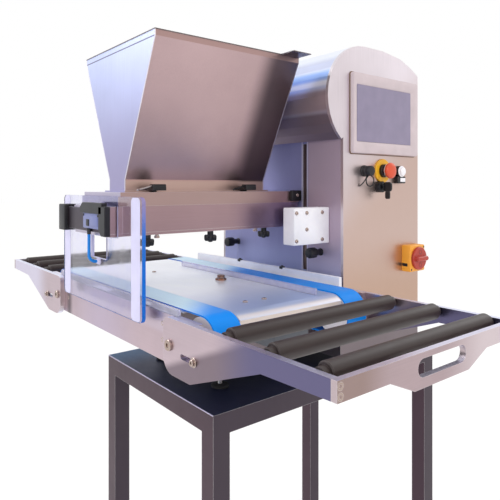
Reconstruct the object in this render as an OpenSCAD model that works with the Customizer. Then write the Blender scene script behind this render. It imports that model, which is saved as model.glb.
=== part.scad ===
// Table-top pastry depositor on a welded stand.
// Frame: origin on the floor under the middle of the whole object's box, Z up.
// +X runs along the conveyor to the outfeed, +Y runs across it to the column.
// Inside at() the origin is the conveyor's middle, level with the top of its side plates.

/* [Layout] */
// height of the side plates' top edge above the floor
rail_z = 930; // [900:1:960]
// conveyor length over the end plates
conv_len = 1328; // [1200:2:1400]
// conveyor width over the extension arms
conv_w = 450; // [430:2:480]

/* [Stand] */
// stand size along X
stand_x = 480; // [440:10:520]
// stand front edge
stand_y0 = -105; // [-120:5:-80]
// stand back edge
stand_y1 = 645; // [600:5:700]
// stand top, below the conveyor's top edge
stand_drop = 216; // [200:1:240]
// square tube size
tube = 40; // [30:5:50]
// tube wall
tube_t = 2; // [1.5:0.5:3]
// stand top sheet
top_t = 3; // [2:0.5:4]
// height of the screw feet
foot_h = 25; // [20:1:40]
// radius of the screw feet's pads
pad_r = 22; // [20:1:30]
// height of the screw feet's pads
pad_h = 10; // [6:1:14]
// radius of the screw feet's studs
stud_r = 6; // [5:0.5:8]

/* [Base] */
// half width of the base pan under the conveyor
base_hx = 150; // [145:1:160]
// front of the base pan
base_y0 = -30; // [-40:1:-22]
// height of the base pan
base_h = 88; // [70:1:100]
// machine foot from the middle
foot_x = 123; // [118:1:128]
// near machine feet
foot_y0 = -5; // [-10:1:0]
// far machine feet
foot_y1 = 480; // [460:1:500]
// pad radius of the machine feet
level_r = 20; // [16:1:24]
// stud radius of the machine feet
level_stud = 5; // [4:0.5:6]
// radius of the bosses that take the studs
boss_r = 14; // [10:1:16]
// cross bar from the middle
bar_x = 140; // [125:1:144]
// width of a cross bar
bar_w = 30; // [20:1:32]
// underside of the cross bars
bar_z0 = -60; // [-62:1:-56]
// height of the cross bars
bar_h = 30; // [20:1:32]

/* [Conveyor] */
// extension arm plate
arm_t = 11.7; // [10:0.1:12]
// side plate
plate_t = 10; // [8:1:12]
// half length of the side plates
plate_hx = 352; // [348:1:360]
// depth of the side plates
plate_h = 87; // [80:1:95]
// belt width
belt_w = 56; // [40:1:70]
// belt thickness
belt_t = 3; // [2:0.5:4]
// gap between a belt and its side plate
belt_gap = 13; // [10:1:20]
// belt top above the side plates
belt_z = 8; // [4:1:12]
// outer radius of the belt round its drums
belt_r = 45; // [40:1:48]
// drum centre from the middle
drum_x = 328; // [318:1:332]
// drum shaft radius
shaft_r = 10; // [8:0.5:12]
// gap between a belt and the slide plate
slide_gap = 4; // [2:0.5:8]
// slide plate below the belt's top
slide_drop = 2; // [1:0.5:2.5]
// slide plate's end beyond the drum's centre
nose = 29; // [24:1:34]
// depth of the lips at the slide plate's round ends
apron_h = 7; // [4:1:12]
// slide plate sheet
slide_t = 2; // [1.5:0.5:3]
// conveyor roller radius
roll_r = 15; // [12:0.5:16]
// first roller from the middle
roll_x = 422; // [415:1:430]
// roller pitch
roll_p = 100; // [90:1:101]
// roller stub radius
stub_r = 5; // [4:0.5:6]
// arm pivot from the middle
pivot_x = 279; // [275:1:283]
// arm pivot below the top edge
pivot_z = -47; // [-50:1:-44]
// pivot screw radius
pivot_r = 6; // [5:0.5:7]
// depth of the roller stubs in the arms
stub_d = 7; // [5:0.5:8]
// radius of the hubs at the rollers' ends
hub_r = 10; // [8:0.5:11]
// length of those hubs
hub_l = 11; // [6:1:16]
// depth of the arms' narrow end and of the end plate's ends
end_h = 27; // [24:1:29]
// depth of the end plate's middle
mid_h = 50; // [44:1:60]
// thickness of the end plate
end_plate_t = 10; // [8:1:12]
// half length of the hand slot between its round ends
hand_hy = 49; // [42:1:54]
// radius of the hand slot's ends
hand_r = 13; // [10:0.5:15]
// half length of the tray guides
guide_hx = 285; // [270:1:300]
// height of the white tray guide
guide_h = 24; // [15:1:35]
// height of the clear strips
strip_h = 13; // [8:1:20]
// thickness of the clear strips
strip_t = 5; // [3:0.5:6]
// near face of the clear strip on the slide plate
bed_strip_y = 88; // [70:1:110]
// infeed end of that strip
bed_strip_x = -190; // [-250:1:-150]
// tray sensor along X
sensor_x = 61; // [40:1:80]
// tray sensor along Y
sensor_y = 42; // [20:1:60]
// tray sensor radius
sensor_r = 9; // [6:0.5:12]
// belt motor radius
motor_r = 28; // [24:1:32]

/* [Column] */
// column half width along X
col_hx = 240; // [230:1:250]
// front face of the column
col_y0 = 270; // [268:0.5:275]
// back face of the column
col_y1 = 573; // [560:1:590]
// end plate
end_t = 8; // [6:1:10]
// column sheet
sheet_t = 2.5; // [2:0.5:3]
// bottom of the column
col_z0 = -92; // [-95:1:-90]
// top of the front panel
col_z1 = 344; // [335:1:350]
// centre of the rolled cover
roll_cy = 348; // [340:1:356]
// height of the rolled cover's centre
roll_cz = 440; // [430:1:450]
// radius of the rolled cover
cover_r = 131; // [120:1:140]
// near edge of the slot in the front panel
slot_x0 = 104; // [100:1:108]
// width of that slot
slot_w = 14; // [12:1:18]
// lower end of the slot
slot_z0 = 15; // [5:1:30]
// length of the slot
slot_h = 320; // [250:1:325]
// panel knob from the middle
hand_knob_x = 167; // [140:1:190]
// height of the panel knobs
hand_knob_z = 65; // [50:1:75]
// panel knob radius
hand_knob_r = 13; // [10:0.5:14]
// guide rod radius
rod_r = 10; // [8:0.5:12]
// underside of the guide rods' cross bar
guide_z = 318; // [310:1:330]
// radius of the lift actuator's tube
lift_r = 24; // [20:1:28]
// top of the lift actuator
lift_z = 60; // [20:1:100]
// lower end of the lift rod
lift_rod_z = -60; // [-65:1:-40]
// guide rod distance from the middle
rod_x = 60; // [50:1:70]
// base pan wall
pan_t = 4; // [3:0.5:6]
// guide rod and actuator plane
rod_y = 400; // [390:1:420]

/* [Head] */
// half width of the head
head_hx = 93; // [85:1:96]
// near end of the head body
head_y0 = -218; // [-220:1:-216]
// far end of the head's top plate
head_y1 = 268; // [260:1:269]
// underside of the head body
head_z0 = 132; // [126:1:140]
// height of the head body
body_h = 55; // [53:1:60]
// thickness of the head's top plate
top_h = 28; // [24:1:32]
// thickness of the nozzle plate
nozzle_t = 6; // [4:1:10]
// nozzle hole radius
nozzle_r = 10; // [6:0.5:12]
// nozzle pitch
nozzle_p = 80; // [60:1:85]
// row of nozzles, counted from the middle one to the end
nozzle_n = 2; // [1:1:2]
// end cap's near face
cap_y = -252; // [-255:1:-248]
// feed roller radius
feed_r = 25.5; // [22:0.5:26]
// feed roller distance from the middle
feed_x = 27.5; // [26:0.5:30]
// feed roller height
feed_z = 163; // [160:1:166]
// feed roller journal radius
jour_r = 8; // [6:0.5:10]
// hopper collar half width
collar_hx = 38; // [34:1:40]
// thickness of the hopper's foot flange
flange_t = 3; // [2:0.5:4]
// hopper half length
collar_hy = 192; // [190:1:200]
// height of the collar above the head
collar_h = 27; // [20:1:40]
// hopper rim half width
rim_hx = 169; // [150:1:180]
// height of the hopper's sloping walls
slope_h = 278; // [200:1:320]
// height of the upright rim
rim_h = 12; // [8:1:20]
// hopper sheet
hop_t = 2; // [1.5:0.5:3]
// guard thickness
guard_t = 8; // [6:1:10]
// guard half width
guard_hx = 200; // [190:1:205]
// guard's lower edge
guard_z0 = -26; // [-40:1:-10]
// guard height
guard_h = 233; // [225:1:250]
// depth of the bracket's blocks in front of the end cap
switch_d = 12; // [10:1:16]
// width of the bracket's outfeed block
out_block_w = 31; // [25:1:36]
// outer side of the bracket's infeed block
in_block_x = -157; // [-170:1:-145]
// width of the bracket's infeed block
in_block_w = 36; // [30:1:45]
// length of the bracket's switch box
box_w = 84; // [70:1:90]
// thickness of the bracket's bar
hold_t = 4; // [3:0.5:6]
// lower edge of the guard's window
window_z = 75; // [60:1:85]
// left side of the window's lower part
window_x = -36; // [-45:1:-30]
// width of the window's lower part
window_w = 79; // [60:1:95]

/* [Fits] */
// radial clearance of a running fit
run = 0.05; // [0.02:0.01:0.1]
// gap between faces that pass each other
gap = 0.3; // [0.3:0.1:1]

/* [Hidden] */
$fn = 48;
// the conveyor's middle line, so that the origin is under the middle of the whole box
conv_y = -(stand_y1 - tube / 2 + pad_r + cap_y - switch_d) / 2;
stand_z = -stand_drop;
slot_x = [slot_x0, slot_x0 + slot_w];
head_z = [head_z0 - nozzle_t, head_z0, head_z0 + body_h, head_z0 + body_h + top_h];
collar = [collar_hx, collar_hy];
collar_z = head_z[3] + collar_h;
hop_z = [collar_z, collar_z + slope_h, collar_z + slope_h + rim_h];
guard_y = [head_y0 - 10 - guard_t, head_y0 - 10];
guard_z = [guard_z0, guard_z0 + guard_h];
floor_z = -rail_z;
half = conv_len / 2;
arm_y1 = conv_w / 2;
arm_y0 = arm_y1 - arm_t;
plate_y1 = arm_y0 - gap;
plate_y0 = plate_y1 - plate_t;
drum_z = belt_z - belt_r;
drum_r = belt_r - belt_t - gap;
roll_z = belt_z - roll_r;
base_z = [col_z0 - base_h, col_z0];
foot_y = [foot_y0, foot_y1];
rails_x = [-bar_x, bar_x];
bar_z1 = bar_z0 + bar_h;
belt_y = plate_y0 - belt_gap;
slide_hy = belt_y - belt_w - slide_gap;
slide_r = belt_r - slide_drop;
nose_a = asin(nose / slide_r);
slide_z = belt_z - slide_drop;
wing_hx = drum_x - belt_r - 7;
wing_z = belt_z - belt_t - 0.5;
ctrl = col_hx;

// Places children in the machine frame.
module at() translate([0, conv_y, rail_z]) children();
// A box from corner to corner.
module bx(x, y, z) translate([x[0], y[0], z[0]]) cube([x[1] - x[0], y[1] - y[0], z[1] - z[0]]);
// Round bars along each axis, from a to b.
module cx(r, a, b, y, z) translate([a, y, z]) rotate([0, 90, 0]) cylinder(r = r, h = b - a);
module cyl_y(r, a, b, x, z) translate([x, a, z]) rotate([-90, 0, 0]) cylinder(r = r, h = b - a);
module cz(r, a, b, x, y) translate([x, y, a]) cylinder(r = r, h = b - a);
// A profile drawn in X and Z, extruded along Y from a to b.
module prof_xz(a, b) translate([0, b, 0]) rotate([90, 0, 0]) linear_extrude(b - a) children();
// A profile drawn in Y and Z, extruded along X from a to b.
module prof_yz(a, b) translate([a, 0, 0]) rotate([90, 0, 90]) linear_extrude(b - a) children();

// Stand: hollow legs and rails welded under a sheet top.
module stand_frame() color("silver") at() {
  x = stand_x / 2;
  z1 = stand_z - top_t;
  z0 = floor_z + foot_h;
  difference() {
    union() {
      bx([-x, x], [stand_y0, stand_y1], [z1, stand_z]);
      for (sx = [-x, x - tube], sy = [stand_y0, stand_y1 - tube])
        bx([sx, sx + tube], [sy, sy + tube], [z0, z1]);
      for (sx = [-x, x - tube]) bx([sx, sx + tube], [stand_y0, stand_y1], [z1 - tube, z1]);
      for (sy = [stand_y0, stand_y1 - tube]) bx([-x, x], [sy, sy + tube], [z1 - tube, z1]);
    }
    i = tube_t;
    for (sx = [-x, x - tube], sy = [stand_y0, stand_y1 - tube])
      bx([sx + i, sx + tube - i], [sy + i, sy + tube - i], [z0 - 1, z1 - i]);
    for (sx = [-x, x - tube])
      bx([sx + i, sx + tube - i], [stand_y0 + i, stand_y1 - i], [z1 - tube + i, z1 - i]);
    for (sy = [stand_y0, stand_y1 - tube])
      bx([-x + i, x - i], [sy + i, sy + tube - i], [z1 - tube + i, z1 - i]);
  }
}

// Screw feet of the stand: pad, stud and a plug that sits in the leg.
module stand_feet() color("dimgray") at() {
  c = tube / 2;
  z0 = floor_z + foot_h;
  p = tube / 2 - tube_t - 0.1;
  for (sx = [-1, 1], sy = [stand_y0 + c, stand_y1 - c]) translate([sx * (stand_x / 2 - c), sy, 0]) {
    cz(pad_r, floor_z, floor_z + pad_h, 0, 0);
    cz(stud_r, floor_z, z0, 0, 0);
    bx([-c, c], [-c, c], [z0 - 3, z0]);
    bx([-p, p], [-p, p], [z0 - 3, z0 + 20]);
  }
}

// Machine feet: pad, stud and lock nut under the base frame.
module machine_feet() color("gray") at() for (sx = [-1, 1], sy = foot_y) {
  cz(level_r, stand_z, stand_z + 8, sx * foot_x, sy);
  cz(level_stud, stand_z, base_z[0] + 14, sx * foot_x, sy);
  cz(level_stud + 4, base_z[0] - 7, base_z[0], sx * foot_x, sy);
}

// Base frame: pan open underneath that carries the bed and the column, with cross bars and ribs.
module base_frame() color("silver") at() difference() {
  t = pan_t;
  union() {
    difference() {
      union() {
        bx([-base_hx, base_hx], [base_y0, col_y0 + t + 1], base_z);
        bx([-col_hx, col_hx], [col_y0 - 10, col_y1], base_z);
      }
      bx([-base_hx + t, base_hx - t], [base_y0 + t, col_y0], [base_z[0] - 1, base_z[1] - t]);
      bx([-col_hx + t, col_hx - t], [col_y0 - 10 + t, col_y1 - t], [base_z[0] - 1, base_z[1] - t]);
    }
    for (sx = [-1, 1], sy = foot_y) cz(boss_r, base_z[0], base_z[1], sx * foot_x, sy);
    for (x = rails_x) {
      bx([x - bar_w / 2, x + bar_w / 2], [base_y0 + 5, 115], [base_z[1] - 1, bar_z1]);
      bx([x - bar_w / 2, x + bar_w / 2], [-plate_y0, plate_y0], [bar_z0, bar_z1]);
      bx([x - 3, x + 3], [-slide_hy + 10, slide_hy - 10], [bar_z1 - 1, slide_z - slide_t]);
    }
    for (x = [-rod_x, rod_x]) cz(rod_r + 8, base_z[1] - 1, base_z[1] + 20, x, rod_y);
  }
  for (sx = [-1, 1], sy = foot_y) cz(level_stud + run, base_z[0] - 1, base_z[0] + 15, sx * foot_x, sy);
  for (x = [-rod_x, rod_x]) cz(rod_r + run, base_z[1] + 2, base_z[1] + 21, x, rod_y);
}

// Side plate of the bed, with bores for both drum shafts and the arm pivots.
module side_plate(s) difference() {
  bx([-plate_hx, plate_hx], s > 0 ? [plate_y0, plate_y1] : [-plate_y1, -plate_y0], [-plate_h, 0]);
  for (x = [-drum_x, drum_x]) cyl_y(shaft_r + run, -conv_w, conv_w, x, drum_z);
  for (x = [-pivot_x, pivot_x]) cyl_y(pivot_r + run, -conv_w, conv_w, x, pivot_z);
}
module plate_near() color("silver") at() side_plate(-1);
module plate_far() color("silver") at() side_plate(1);

// Slide plate between the belts, rounded down over both ends to a lip, with low wings under the belts.
function nose_pt(r, a) = [drum_x + r * sin(a), drum_z + r * cos(a)];
nose_b = asin((nose - slide_t) / (slide_r - slide_t));
lip_z = drum_z + slide_r * cos(nose_a) - apron_h;
slide_end = concat([for (i = [0:8]) nose_pt(slide_r, nose_a * i / 8)],
  [[drum_x + nose, lip_z], [drum_x + nose - slide_t, lip_z]],
  [for (i = [8:-1:0]) nose_pt(slide_r - slide_t, nose_b * i / 8)]);
slide_pts = concat(slide_end, [for (i = [len(slide_end) - 1:-1:0]) [-slide_end[i][0], slide_end[i][1]]]);
module slide_plate() color("gainsboro") at() {
  z0 = wing_z - slide_t;
  prof_xz(-slide_hy, slide_hy) polygon(slide_pts);
  for (y = [[-belt_y - 4, -slide_hy], [slide_hy, belt_y + 4]]) bx([-wing_hx, wing_hx], y, [z0, wing_z]);
  for (y = [-slide_hy, slide_hy - slide_t]) bx([-wing_hx, wing_hx], [y, y + slide_t], [z0, slide_z]);
}

// Two flat belts round the drums.
module belt_outline(r) union() {
  square([2 * drum_x, 2 * r], center = true);
  for (x = [-drum_x, drum_x]) translate([x, 0]) circle(r = r);
}
module belts() color("dodgerblue") at() for (y = [-belt_y, belt_y - belt_w])
  translate([0, 0, drum_z]) prof_xz(y, y + belt_w) difference() {
    belt_outline(belt_r);
    belt_outline(belt_r - belt_t);
  }

// Drum: one turned shaft with a drum under each belt.
module drum(x) {
  cyl_y(shaft_r, -plate_y1, plate_y1, x, drum_z);
  for (y = [-belt_y, belt_y - belt_w]) cyl_y(drum_r, y, y + belt_w, x, drum_z);
}
module drive_drum() color("gray") at() difference() {
  drum(drum_x);
  for (s = [-1, 1]) cyl_y(3, s * plate_y1 - 8, s * plate_y1 + 8, drum_x, drum_z);
}
module idler_drum() color("gray") at() difference() {
  drum(-drum_x);
  for (s = [-1, 1]) cyl_y(3, s * plate_y1 - 8, s * plate_y1 + 8, -drum_x, drum_z);
}

// Belt gearmotor on the drive shaft, braced against the cross bar.
module belt_motor() color("dimgray") at() difference() {
  union() {
    bx([drum_x - 44, drum_x + 22], [-45, 45], [drum_z - 37, drum_z + 30]);
    cx(motor_r, bar_x + bar_w / 2, drum_x - 42, 0, drum_z);
  }
  cyl_y(shaft_r + run, -60, 60, drum_x, drum_z);
}

// White tray guide on the far side plate, and clear strips on the near one and on the slide plate.
module tray_guide() color("white") at()
  bx([-guide_hx, guide_hx], [plate_y0 + 1, plate_y1], [0, guide_h]);
module clear_strip() color("lavender") at() {
  y = bed_strip_y;
  bx([-guide_hx - 3, guide_hx + 3], [-plate_y1 + 1, -plate_y1 + 1 + strip_t], [0, strip_h]);
  bx([bed_strip_x, drum_x - 3], [y, y + strip_t], [slide_z, slide_z + strip_h]);
}

// Round tray sensor on the slide plate.
module tray_sensor() color("sienna") at() {
  cz(sensor_r + 4, slide_z, slide_z + 5, sensor_x, sensor_y);
  cz(sensor_r, slide_z, slide_z + 12, sensor_x, sensor_y);
}

// Shoulder screws that the extension arms turn on.
module arm_pivots() color("gray") at() for (x = [-pivot_x, pivot_x], s = [0, 1]) mirror([0, s, 0]) {
  y0 = plate_y0 - 6;
  y1 = arm_y1 + gap;
  cyl_y(pivot_r, y0, y1 + 4, x, pivot_z);
  cyl_y(pivot_r + 4, y0, plate_y0, x, pivot_z);
  cyl_y(pivot_r + 4, y1, y1 + 4, x, pivot_z);
}

// Extension arm plate: deep round lobe at the pivot, narrow towards the end, drawn for the outfeed.
arm_x1 = half - end_plate_t;
lobe_r = 31;
lock_l = 42;
lobe_x = pivot_x - 21;
lobe_z = pivot_z - 19;
arm_pts = concat([[arm_x1, 0], [arm_x1, -end_h], [roll_x + roll_p + 3, -end_h - 3]],
  [[pivot_x + 66, lobe_z - lobe_r]],
  [for (a = [-90:-15:-180]) [lobe_x + lobe_r * (1 + cos(a)), lobe_z + lobe_r * sin(a)]],
  [for (a = [180:-15:90]) [lobe_x + 15 * (1 + cos(a)), 15 * (sin(a) - 1)]]);
module arm(sx, s) mirror([0, s > 0 ? 0 : 1, 0]) difference() {
  prof_xz(arm_y0, arm_y1) scale([sx, 1]) polygon(arm_pts);
  cyl_y(pivot_r + run, arm_y0 - 1, arm_y1 + 1, sx * pivot_x, pivot_z);
  prof_xz(arm_y0 - 1, arm_y1 + 1) scale([sx, 1]) translate([pivot_x + 41.5, pivot_z - 15]) {
    square([lock_l, 9]);
    for (x = [0, lock_l]) translate([x, 4.5]) circle(r = 4.5);
  }
  for (i = [0:2]) cyl_y(stub_r + run, arm_y0 - 1, arm_y0 + stub_d + gap, sx * (roll_x + i * roll_p), roll_z);
}
module infeed_arm_near() color("silver") at() arm(-1, -1);
module infeed_arm_far() color("silver") at() arm(-1, 1);
module outfeed_arm_near() color("silver") at() arm(1, -1);
module outfeed_arm_far() color("silver") at() arm(1, 1);

// End plate across both arms, with a hand slot in its deep middle.
end_pts = [[-arm_y1, 0], [arm_y1, 0], [arm_y1, -end_h], [124, -end_h], [70, -mid_h], [-70, -mid_h],
  [-124, -end_h], [-arm_y1, -end_h]];
module end_plate(a) prof_yz(a, a + end_plate_t) difference() {
  polygon(end_pts);
  translate([0, -22]) {
    square([2 * hand_hy, 2 * hand_r], center = true);
    for (y = [-hand_hy, hand_hy]) translate([y, 0]) circle(r = hand_r);
  }
}
module infeed_end_plate() color("silver") at() end_plate(-half);
module outfeed_end_plate() color("silver") at() end_plate(arm_x1);

// Dark conveyor roller with a narrow hub at each end and stubs in the arms.
module roller(x) {
  e = arm_y0 - 2;
  cyl_y(roll_r, -e + hub_l, e - hub_l, x, roll_z);
  cyl_y(hub_r, -e, e, x, roll_z);
  cyl_y(stub_r, -arm_y0 - stub_d, arm_y0 + stub_d, x, roll_z);
}
module infeed_roller_1() color("#333333") at() roller(-roll_x);
module infeed_roller_2() color("#333333") at() roller(-roll_x - roll_p);
module infeed_roller_3() color("#333333") at() roller(-roll_x - 2 * roll_p);
module outfeed_roller_1() color("#333333") at() roller(roll_x);
module outfeed_roller_2() color("#333333") at() roller(roll_x + roll_p);
module outfeed_roller_3() color("#333333") at() roller(roll_x + 2 * roll_p);

// Column outline in Y and Z, shrunk by d: rolled front, gently falling top, flat back.
function cover(d) = concat(
  [for (a = [230:-10:90]) [roll_cy + (cover_r - d) * cos(a), roll_cz + (cover_r - d) * sin(a)]],
  [for (p = [[72, 0], [145, 9], [190, 26]]) [roll_cy + p[0], roll_cz + cover_r - d - p[1]]],
  [[col_y1 - d, roll_cz + cover_r - d - 45]]);
module end_outline() polygon(concat([[col_y1, col_z0], [col_y0, col_z0], [col_y0, col_z1]], cover(0)));
module control_plate() color("silver") at() prof_yz(col_hx - end_t, col_hx) end_outline();
module rear_plate() color("silver") at() prof_yz(-col_hx, -col_hx + end_t) end_outline();

// Back and rolled cover in one bent sheet, with a lip back to the front panel.
module column_shell() color("silver") at() {
  a = cover(0);
  b = cover(sheet_t);
  n = len(a) - 1;
  prof_yz(-col_hx + end_t, col_hx - end_t)
    polygon(concat(a, [[col_y1, col_z0], [col_y1 - sheet_t, col_z0]], [for (i = [n:-1:0]) b[i]],
      [[col_y0 + sheet_t, col_z1 + 2], [col_y0 + sheet_t, col_z1], [col_y0, col_z1]]));
}

// Front panel with the slot that the carriage arm runs in, a seam, and holes for the two knobs.
module front_panel() color("silver") at() difference() {
  bx([-col_hx + end_t, col_hx - end_t], [col_y0, col_y0 + sheet_t], [col_z0, col_z1]);
  bx(slot_x, [col_y0 - 1, col_y0 + sheet_t + 1], [slot_z0, slot_z0 + slot_h]);
  bx([-hand_knob_x - 3, -hand_knob_x - 2], [col_y0 - 1, col_y0 + 1], [col_z0 - 1, hand_knob_z - 10]);
  for (x = [-hand_knob_x, hand_knob_x])
    cyl_y(4 + run, col_y0 - 1, col_y0 + sheet_t + 1, x, hand_knob_z);
}

// Guide frame: two rods under a cross bar that is fixed between the end plates.
module guide_frame() color("lightgray") at() {
  for (x = [-rod_x, rod_x]) cz(rod_r, base_z[1] + 2, guide_z + 12, x, rod_y);
  bx([-col_hx + end_t, col_hx - end_t], [rod_y - 14, rod_y + 14], [guide_z, guide_z + 20]);
}

// Lift actuator: upright tube that the carriage's rod runs in.
module lift_actuator() color("gray") at() difference() {
  cz(lift_r, base_z[1], lift_z, 0, rod_y);
  cz(rod_r + run, lift_rod_z - 10, lift_z + 1, 0, rod_y);
}

// Black hand knobs of the front panel.
module column_knobs() color("#222222") at() for (x = [-hand_knob_x, hand_knob_x]) {
  cyl_y(hand_knob_r, col_y0 - 44, col_y0 - 20, x, hand_knob_z);
  cyl_y(hand_knob_r - 5, col_y0 - 21, col_y0, x, hand_knob_z);
  cyl_y(4, col_y0 - 20, col_y0 + 10, x, hand_knob_z);
}

// Carriage on the guide rods, with its actuator rod and the arm that comes out of the slot.
arm_x = [slot_x[0] + 1, slot_x[1] - 1];
module carriage() color("gray") at() difference() {
  z = [head_z0, head_z0 + 42];
  union() {
    bx([-rod_x - 40, arm_x[1]], [rod_y - 30, rod_y + 30], z);
    bx(arm_x, [col_y0 - 42, rod_y + 30], z);
    cz(rod_r, lift_rod_z, head_z0, 0, rod_y);
  }
  for (x = [-rod_x, rod_x]) cz(rod_r + run, z[0] - 1, z[1] + 1, x, rod_y);
}

// White slide block on the arm, with a foot towards the arm and six screw holes.
block_x = [slot_x[1] + 39, slot_x[1] + 78];
block_y = [col_y0 - 117.3, col_y0 - 2 * gap];
block_z = [head_z0 - 42, head_z0 + 45];
screw_yz = [for (p = [[6.7, 75], [39.8, 75], [91.8, 75], [39.8, 36], [6.7, 10], [91.8, 10]])
  [block_y[0] + p[0], block_z[0] + p[1]]];
module slide_block() color("white") at() difference() {
  union() {
    bx(block_x, block_y, block_z);
    bx([arm_x[1], block_x[0] + 1], [block_y[0] + 52, block_y[1]], [block_z[0] + 10, block_z[1] - 7]);
  }
  for (p = screw_yz) cx(2.5 + run, block_x[1] - 20, block_x[1] + 1, p[0], p[1]);
}
module block_screws() color("darkgray") at() for (p = screw_yz) {
  cx(2.5, block_x[1] - 19, block_x[1] + 1, p[0], p[1]);
  difference() {
    cx(4.2, block_x[1], block_x[1] + 3, p[0], p[1]);
    cx(1.6, block_x[1] + 1.2, block_x[1] + 4, p[0], p[1]);
  }
}

// Head body: top plate over a body with two feed bores, an inlet, an outlet and a rear ear.
feed_y1 = head_y1 - 58;
clamp_x = 66;
clamp_y = [-132, 118];
knob_x = 78;
knob_y = [-160, 0, 160];
module head_body() color("silver") at() difference() {
  y1 = head_y1 - 36;
  ear_z = [head_z0 + 4, head_z0 + 40];
  union() {
    bx([-head_hx + 2, head_hx - 2], [head_y0, y1], [head_z[1], head_z[2]]);
    bx([-head_hx, head_hx], [guard_y[1], head_y1], [head_z[2], head_z[3]]);
    bx([head_hx - 3, arm_x[0]], [y1, y1 + 32], ear_z);
    bx([60, head_hx - 2], [y1 - 1, y1 + 32], [ear_z[0], head_z[2] + 1]);
  }
  for (x = [-feed_x, feed_x]) {
    cyl_y(feed_r + 0.7, head_y0 - 1, feed_y1 + 2, x, feed_z);
    cyl_y(jour_r + run, feed_y1 + 1, feed_y1 + 16, x, feed_z);
  }
  bx([-30, 30], [-188, 188], [feed_z, head_z[3] + 1]);
  bx([-8, 8], [-180, 180], [head_z[1] - 1, feed_z]);
  for (y = clamp_y) cz(5 + run, head_z[3] - 16, head_z[3] + 1, clamp_x, y);
  for (y = knob_y) cz(4 + run, head_z[1] - 1, head_z[1] + 16, knob_x, y);
}

// End cap that closes the feed bores and holds the near journals.
module head_cap() color("silver") at() difference() {
  bx([-head_hx + 2, head_hx - 2], [cap_y, head_y0], [head_z[1], head_z[2] - 0.5]);
  for (x = [-feed_x, feed_x]) cyl_y(jour_r + run, head_y0 - 14, head_y0 + 1, x, feed_z);
}

// Black block with a screw at the far end of the head.
module clamp_block() color("#222222") at() {
  bx([head_hx, head_hx + 9], [head_y1 - 34, head_y1 - 1], [head_z[2] + 3, head_z[3] + 2]);
  cx(3, head_hx + 8, head_hx + 11, head_y1 - 16, head_z[2] + 18);
}

// Nozzle plate under the head, with a row of nozzle holes and holes for its knobs.
module nozzle_plate() color("gainsboro") at() difference() {
  bx([-head_hx + 2, head_hx - 2], [cap_y + 2, head_y1 - 38], [head_z[0], head_z[1]]);
  for (i = [-nozzle_n:nozzle_n]) cz(nozzle_r, head_z[0] - 1, head_z[1] + 1, 0, i * nozzle_p);
  for (y = knob_y) cz(4 + run, head_z[0] - 1, head_z[1] + 1, knob_x, y);
}

// Star knobs that hold the nozzle plate.
module nozzle_knobs() color("#222222") at() for (y = knob_y) translate([knob_x, y, 0]) {
  cz(4, head_z[0] - 10, head_z[1] + 14, 0, 0);
  cz(7, head_z[0] - 10, head_z[0], 0, 0);
  cz(12, head_z[0] - 23, head_z[0] - 9, 0, 0);
  for (a = [0:60:300]) rotate(a) cz(4, head_z[0] - 23, head_z[0] - 9, 12, 0);
  cz(5, head_z[0] - 26, head_z[0] - 22, 0, 0);
}

// Fluted feed roller with journals at both ends.
module feed_roller(x) difference() {
  union() {
    cyl_y(feed_r, head_y0 + 4, feed_y1, x, feed_z);
    cyl_y(jour_r, head_y0 - 13, feed_y1 + 15, x, feed_z);
  }
  for (a = [0:36:324]) translate([x, 0, feed_z]) rotate([0, a, 0])
    translate([feed_r, 0, 0]) cyl_y(2.5, head_y0, feed_y1 + 5, 0, 0);
}
module feed_roller_a() color("lightgray") at() feed_roller(-feed_x);
module feed_roller_b() color("lightgray") at() feed_roller(feed_x);

// Hopper: tapered trough of sheet with a foot flange, standing on the head.
module hop_outline(d) polygon([[-collar[0] + d, head_z[3] - 1], [collar[0] - d, head_z[3] - 1],
  [collar[0] - d, hop_z[0]], [rim_hx - d, hop_z[1]], [rim_hx - d, hop_z[2] + d],
  [-rim_hx + d, hop_z[2] + d], [-rim_hx + d, hop_z[1]], [-collar[0] + d, hop_z[0]]]);
module hopper() color("silver") at() difference() {
  union() {
    prof_xz(-collar[1], collar[1]) hop_outline(0);
    bx([-collar[0] - 12, collar[0] + 12], [-collar[1] - 6, collar[1] + 6], [head_z[3], head_z[3] + flange_t]);
  }
  prof_xz(-collar[1] + hop_t, collar[1] - hop_t) hop_outline(hop_t);
  bx([-rim_hx, rim_hx], [-collar[1] - 10, collar[1] + 10], [head_z[3] - 10, head_z[3]]);
}

// Flat lid with a tab at its far corner.
module hopper_lid() color("dimgray") at() {
  bx([-rim_hx - 1, rim_hx + 1], [-collar[1] - 1, collar[1] + 1], [hop_z[2], hop_z[2] + 2]);
  bx([rim_hx, rim_hx + 44], [collar[1] - 58, collar[1] - 2], [hop_z[2], hop_z[2] + 2]);
}

// Turning clamp over the hopper's flange, with a wire handle.
module hopper_clamp(y) translate([clamp_x, y, head_z[3]]) {
  cz(5, -15, 6, 0, 0);
  difference() {
    bx([-20, 16], [-15.5, 15.5], [flange_t + gap, 17]);
    bx([-21, -4], [-19, 19], [12, 18]);
  }
  translate([6, -12, 13]) rotate([104, 0, 0]) cylinder(r = 2, h = 38);
}
module hopper_clamp_1() color("#222222") at() hopper_clamp(clamp_y[0]);
module hopper_clamp_2() color("#222222") at() hopper_clamp(clamp_y[1]);

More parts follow.
